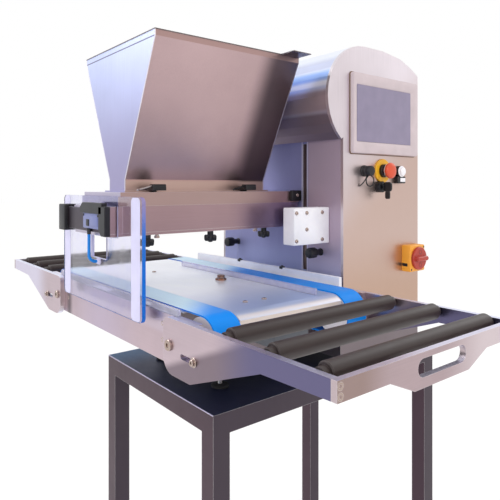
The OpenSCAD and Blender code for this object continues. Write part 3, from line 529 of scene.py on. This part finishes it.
# Tray guides. A white plastic bar held by two black clips on the far side plate, and clear plastic
# strips along the near side plate and along the slide plate.
white_plastic = plastic("white_plastic", (250, 249, 255), 0.42, 700.0, 0.06)
dress(white_plastic, "tray_guide")
black = plastic("black_plastic", (14, 15, 24), 0.34, 800.0, 0.2)
guide_top = (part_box("tray_guide")[1].z - deck) / MM
bm = bmesh.new()
for x in (-79, 93):
    block(bm, (x - 6, 203.2, guide_top - 4), (x + 6, 213, guide_top + 2.5), 1.2)
    turned(bm, [(3.4, 0), (3.4, 2.2), (2.6, 3)], (x, 208, guide_top + 2), UP, 20)
piece("guide_clips", bm, black, "frame", "black_plastic")


def clear(name, tone, bend=1.46, through=1.0):
    """Clear plastic sheet with a faint tint and fine handling marks."""
    made = bpy.data.materials.new(name)
    made.use_nodes = True
    tree = made.node_tree
    shader = tree.nodes["Principled BSDF"]
    marks = noise(tree, add(tree, "ShaderNodeTexCoord").outputs["Object"], 60.0, 5.0)
    cloudy = add(tree, "ShaderNodeMapRange", {0: marks, 1: 0.35, 2: 0.8, 3: 0.03, 4: 0.13})
    tree.links.new(cloudy.outputs[0], shader.inputs["Roughness"])
    tint = mix(tree, marks, colour(*tone), (0.95, 0.95, 0.99, 1))
    tree.links.new(tint, shader.inputs["Base Color"])
    shader.inputs["Transmission Weight"].default_value = through
    shader.inputs["IOR"].default_value = bend
    return made


clear_sheet = clear("clear_sheet", (204, 202, 236), 1.12, 0.65)
dress(clear_sheet, "clear_strip")

# Extension arms and end plates. Laser-cut stainless plate that turns on shoulder screws, brushed
# along its length, with a screwed end plate that has a hand slot.
# Painted reflection on the arms' sides: a slanted dark band along the outfeed arms' lower part mirrors the
# dark stand top, a darker blue one lies over their outer end, and a paler one over the infeed arms.
arm_steel = steel("arm_steel", (206, 192, 194), (192, 174, 182), (226, 228, 250), ALONG_X, 0.34, 0.05,
                  [(Y, (0.371, 0, -0.928), 279, 100, 8, (122, 108, 118), 0.9),
                   (Y, X, 600, 140, 60, (102, 100, 136), 0.85),
                   (Y, X, -560, 160, 60, (218, 214, 236), 0.8)])
dress(arm_steel, "infeed_arm_near", "infeed_arm_far", "outfeed_arm_near", "outfeed_arm_far")
# Painted reflection on the end faces: darker brown towards the near side and paler over the far side.
end_steel = steel("end_steel", (180, 160, 164), (190, 174, 178), (220, 216, 236), ALONG_Y, 0.36, 0.05,
                  [(X, Y, -200, 50, 36, (150, 128, 120), 0.75), (X, Y, 200, 140, 70, (218, 204, 208), 0.9)])
dress(end_steel, "infeed_end_plate", "outfeed_end_plate")
LOCK_X, LOCK_Z = 357, -57.5
PIVOT_X, PIVOT_Z = 279, -47
arm_face = (mid_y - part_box("outfeed_arm_near")[0].y) / MM
end_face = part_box("outfeed_end_plate")[1].x / MM
for side, sx in (("infeed", -1), ("outfeed", 1)):
    bm = bmesh.new()
    for sy in (-1, 1):
        out = (0, sy, 0)
        turned(bm, [(8.5, -4), (8.5, 0.2), (8.5, 1.2), (7.8, 1.8)],
               (sx * LOCK_X, sy * arm_face, LOCK_Z), out, 28)
        screw(bm, (sx * LOCK_X, sy * (arm_face + 1.8), LOCK_Z), out, 5.6, 4.2)
        for z in (-7.5, -20):
            turned(bm, [(5.4, -2), (5.4, 0.03), (5.2, 0.05), (2.6, 0.05, hexagon), (2.6, -1, hexagon)],
                   (sx * end_face, sy * (arm_face - 6), z), (sx, 0, 0), 28)
    piece(f"{side}_screws", bm, screw_steel, side, "bright")

bm = bmesh.new()
for sx in (-1, 1):
    for sy in (-1, 1):
        spot = (sx * PIVOT_X, sy * (arm_face + 0.3), PIVOT_Z)
        turned(bm, [(6, -28), (10, -27.6), (10, -22.2), (6, -22), (6, 0), (10, 0.1), (10, 3.2), (9.2, 4),
                    (4.4, 4, hexagon), (4.4, 1, hexagon)], spot, (0, sy, 0), 36)
piece("arm_screws", bm, screw_steel, "frame", "bright", "arm_pivots")

# Conveyor rollers. Dark plastic tubes with turned ends on narrow hubs, three to an extension, each
# on two short stubs that run in its arms.
roller_dark = plastic("roller_dark", (54, 44, 44), 0.40, 1200.0, 0.08)
FIRST_ROLLER, ROLLER_STEP, ROLLER_Z = 422, 100, -7
TUBE_END = 200.3
half_tube = [(15, TUBE_END - 1.6), (13.4, TUBE_END), (10, TUBE_END + 0.2), (10, 210.4), (9.4, 211.2),
             (5, 211.3), (5, 220.2)]
tube = [(radius, -y) for radius, y in half_tube[::-1]] + half_tube
for side, sx in (("infeed", -1), ("outfeed", 1)):
    for i in range(3):
        bm = bmesh.new()
        turned(bm, tube, (sx * (FIRST_ROLLER + ROLLER_STEP * i), 0, ROLLER_Z), (0, 1, 0), 56)
        node = f"{side}_roller_{i + 1}"
        piece(node + "_tube", bm, roller_dark, node, "dark_roller", node)

# Column. Brushed end plates, a slotted front panel and one sheet rolled over the top, closed by
# small screws along the back. A strip behind the slot moves with the head and covers it.
# Painted reflection on the panel's face: a paler, pinker band just past the slot and a bluer lower part;
# thin pale lines on the slot's two edges are painted highlights.
front_steel = steel("front_steel", (150, 145, 165), (142, 142, 186), (170, 168, 190), ALONG_Z, 0.5, 0.05,
                    [(Y, X, 180, 58, 6, (188, 168, 182), 0.9),
                     (Y, Z, -60, 90, 80, (184, 198, 246), 0.9),
                     (Y, X, 101.5, 1.6, 1.0, (216, 212, 232), 0.85),
                     (Y, X, 120.5, 1.6, 1.0, (216, 212, 232), 0.85)], 0.45)
dress(front_steel, "front_panel")
# Painted reflection on the near side of the rolled sheet, by height from the bottom: a dark band, a brown
# band, a white highlight line, a blue band and a pale band; its pale front and top tones are painted
# reflection too.
shell_steel = steel("shell_steel", (150, 145, 165), (220, 228, 255), (222, 230, 255), ALONG_X, 0.42, 0.03,
                    [("near", Z, 366, 36, 8, (136, 120, 128), 0.95),
                     ("near", Z, 428, 26, 8, (176, 156, 160), 0.95),
                     ("near", Z, 470, 7, 4, (246, 246, 255), 0.9),
                     ("near", Z, 489, 11, 6, (158, 192, 255), 0.9),
                     ("near", Z, 550, 18, 10, (242, 246, 255), 0.8)], 0.8)
dress(shell_steel, "column_shell")
# Painted warm reflection: the plate's side turns browner and darker towards the bottom.
control_steel = steel("control_steel", (226, 220, 230), (214, 204, 208), (225, 220, 226), shine=0.36,
                      bands=[(X, (0, 0.6, -0.8), 490, 500, 120, (205, 180, 170), 0.95),
                             (X, Z, -60, 40, 140, (194, 162, 142), 0.85)])
dress(control_steel, "control_plate", "rear_plate")
back_y = (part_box("column_shell")[1].y - mid_y) / MM
bm = bmesh.new()
for x in (-222, 0, 222):
    for z in (-75, 105, 285, 465):
        turned(bm, [(4.4, -0.5), (4.4, 0.6), (3.4, 1.8), (1.8, 2.2)], (x, back_y, z), (0, 1, 0), 20)
piece("back_screws", bm, screw_steel, "frame", "bright")
slot_steel = steel("slot_steel", (120, 105, 100), (124, 108, 102), (120, 105, 100), ALONG_Z, 0.45)
bm = bmesh.new()
for low, high in ((-66, 130), (176, 336)):
    block(bm, (102.5, 273, low), (119.5, 274, high), 0.3)
piece("slot_strip", bm, slot_steel, "head", "steel")


# Panel knobs. Black moulded knobs with finger flutes on slim necks, screwed to the front panel on
# either side of the head.
def fluted(a):
    """Share of a knob's radius round its finger flutes."""
    return 1 - 0.07 * (0.5 + 0.5 * math.cos(10 * a)) ** 2


panel_y = (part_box("front_panel")[0].y - mid_y) / MM
bm = bmesh.new()
for x in (-167, 167):
    turned(bm, [(9, 0), (9, 2), (7.4, 3), (7.4, 18), (9, 20.5), (12.4, 21.5, fluted), (13, 23.5, fluted),
                (13, 40, fluted), (12, 43, fluted), (9, 44), (4, 44.2)], (x, panel_y, 65), (0, -1, 0), 60)
piece("panel_knobs", bm, black, "frame", "black_plastic", "column_knobs")

# Slide block. White plastic, machined and bevelled, on the lifting arm that comes out of the slot,
# with six socket screws.
bm = bmesh.new()
block(bm, (157, 152.7, 90), (196, 269.4, 177), 2.4)
block(bm, (117.2, 204.9, 100), (159, 269.4, 170), 1.5)
piece("white_block", bm, white_plastic, "head", "white_plastic", "slide_block")
bm = bmesh.new()
for y, z in ((159.4, 165), (192.5, 165), (244.5, 165), (192.5, 126), (159.4, 100), (244.5, 100)):
    turned(bm, [(5, -1), (5, 0.5), (4.8, 0.8)], (196, y, z), RIGHT, 24)
    screw(bm, (196.8, y, z), RIGHT, 3.8, 2.2, 2)
piece("white_block_screws", bm, screw_steel, "head", "bright", "block_screws")

# Head. Machined and brushed stainless body with a screwed end cap, and a black clamp with its screw
# at the far end.
# Painted on the head's sides: a darker, bluer band towards the far end is a reflection, and a slightly
# lighter strip along the top flange is painted light.
head_steel = steel("head_steel", (168, 142, 148), (190, 182, 200), (215, 212, 228), ALONG_Y, 0.34, 0.05,
                   [(X, Y, 240, 30, 170, (146, 132, 164), 0.85), (X, Z, 201, 14, 1, (176, 152, 148), 0.8)])
dress(head_steel, "head_body", "head_cap", "nozzle_plate")
bm = bmesh.new()
block(bm, (93, 234, 190), (102, 267, 217), 1.6)
piece("end_clamp", bm, black, "head", "black_plastic", "clamp_block")
bm = bmesh.new()
screw(bm, (102, 252, 205), RIGHT, 4.2, 2, 2)
piece("end_clamp_screw", bm, screw_steel, "head", "bright")


# Nozzle plate fixings. Black moulded star knobs, whose studs hold the plate under the head, and two
# short hexagon bolts between them.
def star(a):
    """Share of a star knob's radius round its six arms."""
    return 1 + 0.17 * math.cos(6 * a)


under = (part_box("nozzle_plate")[0].z - deck) / MM
bm = bmesh.new()
for y in (-160, 0, 160):
    turned(bm, [(4, -13), (4, -0.2), (7, 0), (7, 9), (11.4, 9.6, star), (13, 11.4, star), (13.4, 14, star),
                (13, 21, star), (11.4, 23, star), (5.6, 23.2), (5, 25), (3, 26)],
           (78, y, under), (0, 0, -1), 72)
piece("star_knobs", bm, black, "head", "black_plastic", "nozzle_knobs")
bm = bmesh.new()
for y in (-141, 128):
    turned(bm, [(3.6, -0.5), (3.6, 2.6), (6.4, 3, hexagon), (6.4, 7.4, hexagon), (5.2, 8, hexagon)],
           (84, y, under), (0, 0, -1), 24)
piece("plate_bolts", bm, screw_steel, "head", "bright")

# Hopper. Folded sheet with welded corners and an upright rim, brushed upwards, under a flat lid
# with a tab.
# Painted on the hopper: a deep dark band over the far part of its sloping side is a reflection, the rim and
# foot strips on that side get slightly different painted tones, the front faces get a lavender reflection,
# and a thin dark line at the front's bend under the rim is painted shade.
hopper_steel = steel("hopper_steel", (184, 150, 148), (212, 220, 255), (215, 212, 225), ALONG_Z, 0.38, 0.05,
                     [(X, Y, 204, 104, 32, (34, 31, 44), 0.97),
                      (X, Z, 526, 6, 1, (178, 152, 152), 0.8),
                      (X, Z, 226, 14, 4, (200, 176, 166), 0.7),
                      (Y, Z, 220, 180, 160, (166, 158, 192), 0.95),
                      (Y, Z, 520, 1.2, 0.8, (96, 86, 100), 0.9)])
dress(hopper_steel, "hopper")
# The lid is seen from below: its dark tones on every face are painted shade of its underside.
shaded_lid_steel = steel("shaded_lid_steel", (84, 72, 76), (88, 80, 88), (92, 84, 94), ALONG_Y, 0.38)
dress(shaded_lid_steel, "hopper_lid")
hopper_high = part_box("hopper")[1]
rim_x = hopper_high.x / MM - 0.6
rim_top = (hopper_high.z - deck) / MM - 0.3
seam = [(37.6, 218.2), (37.6, 242), (103, 381), (rim_x, 520), (rim_x, rim_top)]
# The near corner seams get a pale painted highlight; the back ones keep the hopper's tones.
seam_highlight = steel("seam_highlight", (226, 218, 226), (226, 222, 236), (226, 222, 236), ALONG_Z, 0.3)
for name, y, finish in (("hopper_front_seams", -191.4, seam_highlight),
                        ("hopper_back_seams", 191.4, hopper_steel)):
    bm = bmesh.new()
    for sx in (-1, 1):
        wire(bm, [(sx * x, y, z) for x, z in seam], 1.2, 10)
    piece(name, bm, finish, "head", "steel")

# Hopper clamps. Black moulded blocks that turn on a post over the hopper's foot, each with a wire
# handle, bright steel on the near one and black on the far one.
for number, y, finish, slot, thick in ((1, -132, stud_steel, "bright", 2.2),
                                       (2, 118, black, "black_plastic", 2.0)):
    body = f"hopper_clamp_{number}"
    bm = bmesh.new()
    block(bm, (46, y - 15.5, 218.4), (82, y + 15.5, 227), 1.6)
    block(bm, (62, y - 15.5, 225), (82, y + 15.5, 232), 2.2)
    turned(bm, [(5, 0.2), (5, 4), (5, 12), (8, 12), (8, 13.6), (7, 14.6), (3, 15)], (56, y, 215), UP, 28)
    piece(body + "_block", bm, black, body, "black_plastic", body)
    bm = bmesh.new()
    wire(bm, [(72, y - 10, 228.4), (72, y - 16, 227.6), (72.4, y - 30, 224.2), (73, y - 42, 221.3),
              (74.4, y - 48, 220), (78, y - 51, 219.4)], thick)
    piece(body + "_handle", bm, finish, body, slot)


# End guard. A thick clear panel with polished blue edges and rounded corners, stepped open for the
# end cap, with a milky film strip down each side.
def lofted(bm, axis, *levels):
    """Joins outlines of (a, b) points at levels along an axis into one closed form."""
    first, second = [i for i in range(3) if i != axis]
    rings = []
    for level, outline in levels:
        ring = []
        for a, b in outline:
            point = [0, 0, 0]
            point[axis], point[first], point[second] = level, a, b
            ring.append(bm.verts.new(at(*point)))
        rings.append(ring)
    close(bm, rings)


def round_rect(a0, a1, b0, b1, radius, count=6):
    """A rectangle with round corners, as (a, b) points."""
    points = []
    for corner, (a, b) in enumerate(((a1, b1), (a0, b1), (a0, b0), (a1, b0))):
        a += radius if a == a0 else -radius
        b += radius if b == b0 else -radius
        for i in range(count):
            turn = math.radians(90 * corner + 90 * i / (count - 1))
            points.append((a + radius * math.cos(turn), b + radius * math.sin(turn)))
    return points


guard_low, guard_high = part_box("end_guard")
front = (guard_low.y - mid_y) / MM
back = (guard_high.y - mid_y) / MM - 0.3
low_z, high_z = ((z - deck) / MM for z in (guard_low.z, guard_high.z))
GUARD_X = 200
outer = round_rect(-GUARD_X, GUARD_X, low_z, high_z, 12, 8)
inner = [(94, 187), (-94, 187), (-94, 124), (-36, 124), (-36, 75), (43, 75), (43, 124), (94, 124)]
guard_clear = clear("guard_clear", (214, 212, 246))
# Towards the top the blue edges turn lavender: a painted reflection.
edge_blue = plastic("edge_blue", (0, 108, 210), 0.2, 900.0, 0.0,
                    [(None, Z, 215, 50, 40, (150, 134, 176), 0.9)])
edge_pale = plastic("edge_pale", (215, 212, 245), 0.25, 900.0, 0.0)
bm = bmesh.new()
loops = []
for y in (front, back):
    rim = [bm.verts.new(at(x, y, z)) for x, z in outer]
    window = [bm.verts.new(at(x, y, z)) for x, z in inner]
    loops.append((rim, window))
    edges = [bm.edges.new((ring[i], ring[(i + 1) % len(ring)]))
             for ring in (rim, window) for i in range(len(ring))]
    bmesh.ops.triangle_fill(bm, edges=edges, use_beauty=True)
for number, (near, far) in enumerate(zip(*loops)):
    for i in range(len(near)):
        j = (i + 1) % len(near)
        bm.faces.new((near[i], near[j], far[j], far[i])).material_index = 1 + number
panel = piece("guard_panel", bm, guard_clear, "head", "clear_plastic", "end_guard")
panel.data.materials.append(edge_blue)
panel.data.materials.append(edge_pale)
film = plastic("film_strip", (212, 210, 243), 0.3, 900.0, 0.02)
bm = bmesh.new()
for sx in (-1, 1):
    strip = round_rect(*sorted((sx * 157, sx * 193)), low_z + 1, high_z - 1, 9)
    lofted(bm, Y, (front - 0.5, strip), (front - 0.05, strip))
piece("guard_film", bm, film, "head", "white_plastic")

# Guard bracket. A dark steel bar between black moulded blocks on the end cap, and a pale switch
# box under a black hook.
bar_steel = steel("bar_steel", (96, 86, 92), (78, 70, 80), (70, 74, 104), ALONG_X, 0.4)
cap_face = (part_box("head_cap")[0].y - mid_y) / MM
bm = bmesh.new()
block(bm, (-124, cap_face - 4, 133), (66, cap_face - 0.1, 182), 1)
piece("guard_bar", bm, bar_steel, "head", "steel")
foot = [(67, 140), (79, 128), (98, 128), (98, 187), (67, 187)]
foot_front = [(68.2, 140.5), (79.5, 129.2), (96.8, 129.2), (96.8, 185.8), (68.2, 185.8)]
hook = [(-29, 172), (82, 172), (82, 192), (80, 194), (-16, 194), (-29, 184)]
hook_front = [(x * 0.98 + 0.5, z * 0.98 + 3.6) for x, z in hook]
bm = bmesh.new()
block(bm, (-157, cap_face - 12, 128), (-121, front - 0.1, 187), 2)
lofted(bm, Y, (cap_face - 0.1, foot), (cap_face - 10.6, foot), (cap_face - 12, foot_front))
lofted(bm, Y, (cap_face - 0.1, hook), (cap_face - 11, hook), (cap_face - 12, hook_front))
piece("bracket_blocks", bm, black, "head", "black_plastic", "guard_bracket")
switch_pale = plastic("switch_pale", (112, 120, 172), 0.3, 700.0, 0.05)
bm = bmesh.new()
block(bm, (-17, cap_face - 10, 140), (67, cap_face - 0.1, 173), 2.4)
block(bm, (22, cap_face - 11.2, 146), (60, cap_face - 9, 167), 1)
piece("switch_case", bm, switch_pale, "head", "screen_grey")
bm = bmesh.new()
block(bm, (3, cap_face - 11.4, 145), (17, cap_face - 9, 159), 1)
for x in (-12, 62):
    turned(bm, [(2.6, 0), (2.6, 0.8), (2, 1.2)], (x, cap_face - 10, 168), (0, -1, 0), 20)
piece("switch_window", bm, black, "head", "black_plastic")

# Lead. Blue sheathed switch lead that drops from the switch box into a gland in the guard, with a
# ribbed sleeve at its upper end.
lead_blue = plastic("lead_blue", (0, 128, 222), 0.42, 900.0, 0.1)
dress(lead_blue, "cable")
LEAD_X, LEAD_RADIUS = 10, 3.2
lead_y = (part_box("cable")[0].y - mid_y) / MM + LEAD_RADIUS
bm = bmesh.new()
turned(bm, [(4.6, 0), (4.6, 3), (4.1, 3.6), (4.5, 5), (4, 6.4), (4.4, 7.8), (3.8, 9.4), (4, 10.6),
            (3.4, 12.4)], (LEAD_X, lead_y, 140), (0, 0, -1), 28)
piece("lead_sleeve", bm, black, "head", "black_plastic")
bm = bmesh.new()
turned(bm, [(8, 0, hexagon), (8, 3, hexagon), (6.4, 3.4), (5.6, 6), (3.6, 6.6)], (LEAD_X, front, 70),
       (0, -1, 0), 36)
piece("lead_gland", bm, edge_pale, "head", "clear_plastic")

# Screen. A flat touch panel in a moulded pale grey case with rounded corners, screwed on the
# control plate, with a thin brown rim under the case as painted shade along its edges.
screen_grey = plastic("screen_grey", (206, 191, 196), 0.4, 900.0, 0.06)
plate_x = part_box("control_plate")[1].x / MM
case = round_rect(294, 557, 307, 502, 6)
bm = bmesh.new()
lofted(bm, X, (plate_x + 1, case), (plate_x + 8.6, case),
       (plate_x + 11.4, round_rect(295.4, 555.6, 308.4, 500.6, 6)),
       (plate_x + 12, round_rect(298, 553, 311, 498, 5)),
       (plate_x + 12, round_rect(303, 527, 332, 477, 3)),
       (plate_x + 10.8, round_rect(306, 524, 335, 474, 2)),
       (plate_x + 9.9, round_rect(307, 523, 336, 473, 2)))
piece("screen_case", bm, screen_grey, "frame", "screen_grey", "screen_unit")
# A thin brown rim just larger than the case, under it, is painted shade along the case's edges.
bm = bmesh.new()
lofted(bm, X, *[(plate_x + level, round_rect(292, 558, 305, 504, 7)) for level in (0.1, 1.4, 1.5)])
piece("screen_shade_rim", bm, plastic("shade_rim_brown", (120, 92, 72), 0.5), "frame", "black_plastic")
screen_dark = plastic("screen_dark", (142, 134, 160), 0.14, 40.0, 0.0)
dress(screen_dark, "screen_glass")

# Stop button. A yellow disc and a black collar on the control plate, and a red moulded mushroom head
# with a white flange under it, which is pushed in.
yellow = plastic("yellow_plastic", (244, 182, 40), 0.35)
red = plastic("red_plastic", (222, 84, 52), 0.3)
stop = (plate_x, 417, 266.5)
bm = bmesh.new()
turned(bm, [(30, 0), (30, 3.4), (29, 4.5), (17.4, 4.5), (16.6, 3.8), (16.6, 0.4)], stop, RIGHT, 56)
piece("stop_disc", bm, yellow, "frame", "yellow", "estop_ring")
bm = bmesh.new()
turned(bm, [(16.4, 0.5), (16.4, 10.6), (15.2, 12), (8.9, 12), (8.4, 11.4), (8.4, 1)], stop, RIGHT, 48)
piece("stop_collar", bm, black, "frame", "black_plastic")
bm = bmesh.new()
turned(bm, [(8, 8), (8, 19.6), (14.6, 20.2), (18.6, 22.6), (20, 25.6), (20, 27.4), (19, 30), (16, 32.2),
            (11, 33.5), (5, 34), (0.8, 34)], stop, RIGHT, 56)
piece("stop_head", bm, red, "estop_button", "red", "estop_button")
bm = bmesh.new()
turned(bm, [(8.1, 18.4), (13, 18.5), (17.6, 19.6), (18.4, 21.2), (15, 20.2), (8.1, 19.4)], stop, RIGHT, 48)
piece("stop_flange", bm, white_plastic, "estop_button", "white_plastic")


# Start button, key switch and port. Black moulded holders, a domed white button with a pale ring
# and a blank label, a key with a black fob, and a capped port on a strap.
def circle(y, z, radius):
    """A circle with as many points as a rounded rectangle, as (a, b) points."""
    turns = [math.radians(15 * i + 7.5) for i in range(24)]
    return [(y + radius * math.cos(a), z + radius * math.sin(a)) for a in turns]


START_Y, START_Z = 483, 266
start = (plate_x, START_Y, START_Z)
lock = (plate_x, 401, 226)
port = (plate_x, 345, 265)
label_case = round_rect(468, 501, 235, 253.2, 3)
bm = bmesh.new()
lofted(bm, X, (plate_x, label_case), (plate_x + 10.8, label_case),
       (plate_x + 12, round_rect(469.2, 499.8, 236.2, 252.4, 2.4)))
lofted(bm, X, *[(plate_x + level, circle(START_Y, START_Z, radius))
                for level, radius in ((0, 14.5), (10.8, 14.5), (12, 13.6), (12, 12.2), (2, 12.2))])
turned(bm, [(14, 0), (14, 14.4), (13, 16), (9.4, 16), (9, 15)], lock, RIGHT, 44)
turned(bm, [(14, 0), (14, 4.4), (13.4, 5), (12.5, 5.4), (12.5, 12), (11.8, 12.6), (11.8, 13.4), (12.5, 14),
            (12.5, 24), (11, 26), (4, 26.4)], port, RIGHT, 44)
loop = [math.radians(100 + 17 * i) for i in range(21)]
wire(bm, [(plate_x + 14 + 0.3 * i, 348 + 12.5 * math.cos(a), 240 + 12.5 * math.sin(a))
          for i, a in enumerate(loop)], 1.5)
wire(bm, [(plate_x + 12, 342, 253), (plate_x + 11, 340, 246), (plate_x + 8, 336, 238),
          (plate_x + 4, 331, 231), (plate_x + 1.4, 326, 228)], 1.4)
piece("control_holders", bm, black, "frame", "black_plastic", "control_bases")
bm = bmesh.new()
turned(bm, [(12.6, 11.6), (14.2, 12), (14.2, 13.2), (13.6, 13.8), (12.4, 13.8)], start, RIGHT, 44)
block(bm, (plate_x + 11.8, 478, 239), (plate_x + 12.5, 499, 249), 0.3)
piece("button_ring_and_label", bm, white_plastic, "frame", "white_plastic")
bm = bmesh.new()
turned(bm, [(11.4, 7), (11.4, 16), (10.8, 17.6), (8.6, 18.6), (5, 19), (1, 19)], start, RIGHT, 44)
piece("start_cap", bm, white_plastic, "start_button", "white_plastic", "start_button")
bow = round_rect(plate_x + 17, plate_x + 42, 214, 238, 8)
bow_face = round_rect(plate_x + 18, plate_x + 41, 215, 237, 7)
fob = round_rect(plate_x + 23, plate_x + 36, 196, 215, 4)
bm = bmesh.new()
turned(bm, [(4, 8), (4, 17), (5, 17.4), (5, 19)], lock, RIGHT, 24)
lofted(bm, Y, (398.6, bow_face), (399.4, bow), (402.6, bow), (403.4, bow_face))
lofted(bm, Y, (399.2, fob), (402.8, fob))
piece("key_and_fob", bm, black, "key", "black_plastic", "key")

# Main switch. A yellow moulded box with a rounded lid on the control plate, and a red turning knob
# that has a raised handle and two dents, whose darker red is painted shade.
KNOB_Y, KNOB_Z = 534.5, 37.5
box_side = round_rect(502, 567, 3, 72, 4)
bore = circle(KNOB_Y, KNOB_Z, 6)
bm = bmesh.new()
lofted(bm, X, (plate_x, box_side), (plate_x + 23, box_side),
       (plate_x + 25.2, round_rect(503.2, 565.8, 4.2, 70.8, 3.6)),
       (plate_x + 26, round_rect(505, 564, 6, 69, 3)), (plate_x + 26, bore), (plate_x + 9, bore))
piece("switch_housing", bm, plastic("switch_yellow", (240, 164, 56), 0.36), "frame", "yellow", "switch_box")
bm = bmesh.new()
block(bm, (plate_x + 1, 501, 17), (plate_x + 17, 503, 25), 0.8)
for y, z in ((507, 9), (562, 66)):
    turned(bm, [(2.6, -0.4), (2.6, 0.5), (2, 0.8)], (plate_x + 25.6, y, z), RIGHT, 20)
piece("switch_marks", bm, black, "frame", "black_plastic")
dark_red = plastic("dark_red_plastic", (176, 58, 46), 0.3)
bm = bmesh.new()
turned(bm, [(5, 10), (5, 26.3), (29, 26.4), (30, 27.4), (30, 32.4), (28.6, 34), (6, 34)],
       (plate_x, KNOB_Y, KNOB_Z), RIGHT, 56)
handle = ((33.5, 26, 7), (39, 25.2, 6.4), (42.4, 24.2, 5.6), (44, 22.6, 4.2))
lofted(bm, X, *[(plate_x + level, round_rect(KNOB_Y - wide, KNOB_Y + wide, KNOB_Z - tall, KNOB_Z + tall,
                                             tall - 0.6)) for level, wide, tall in handle])
piece("switch_handle", bm, dark_red, "switch_knob", "red", "switch_knob")
# The dents' darker red is painted shade.
bm = bmesh.new()
for z in (KNOB_Z - 17, KNOB_Z + 17):
    turned(bm, [(6, 33.8), (6, 34.3), (5.2, 34.5), (4.4, 33.9), (1, 33.8)], (plate_x, KNOB_Y, z), RIGHT, 28)
piece("switch_dents", bm, plastic("dent_shade_red", (112, 34, 32), 0.4), "switch_knob", "red")
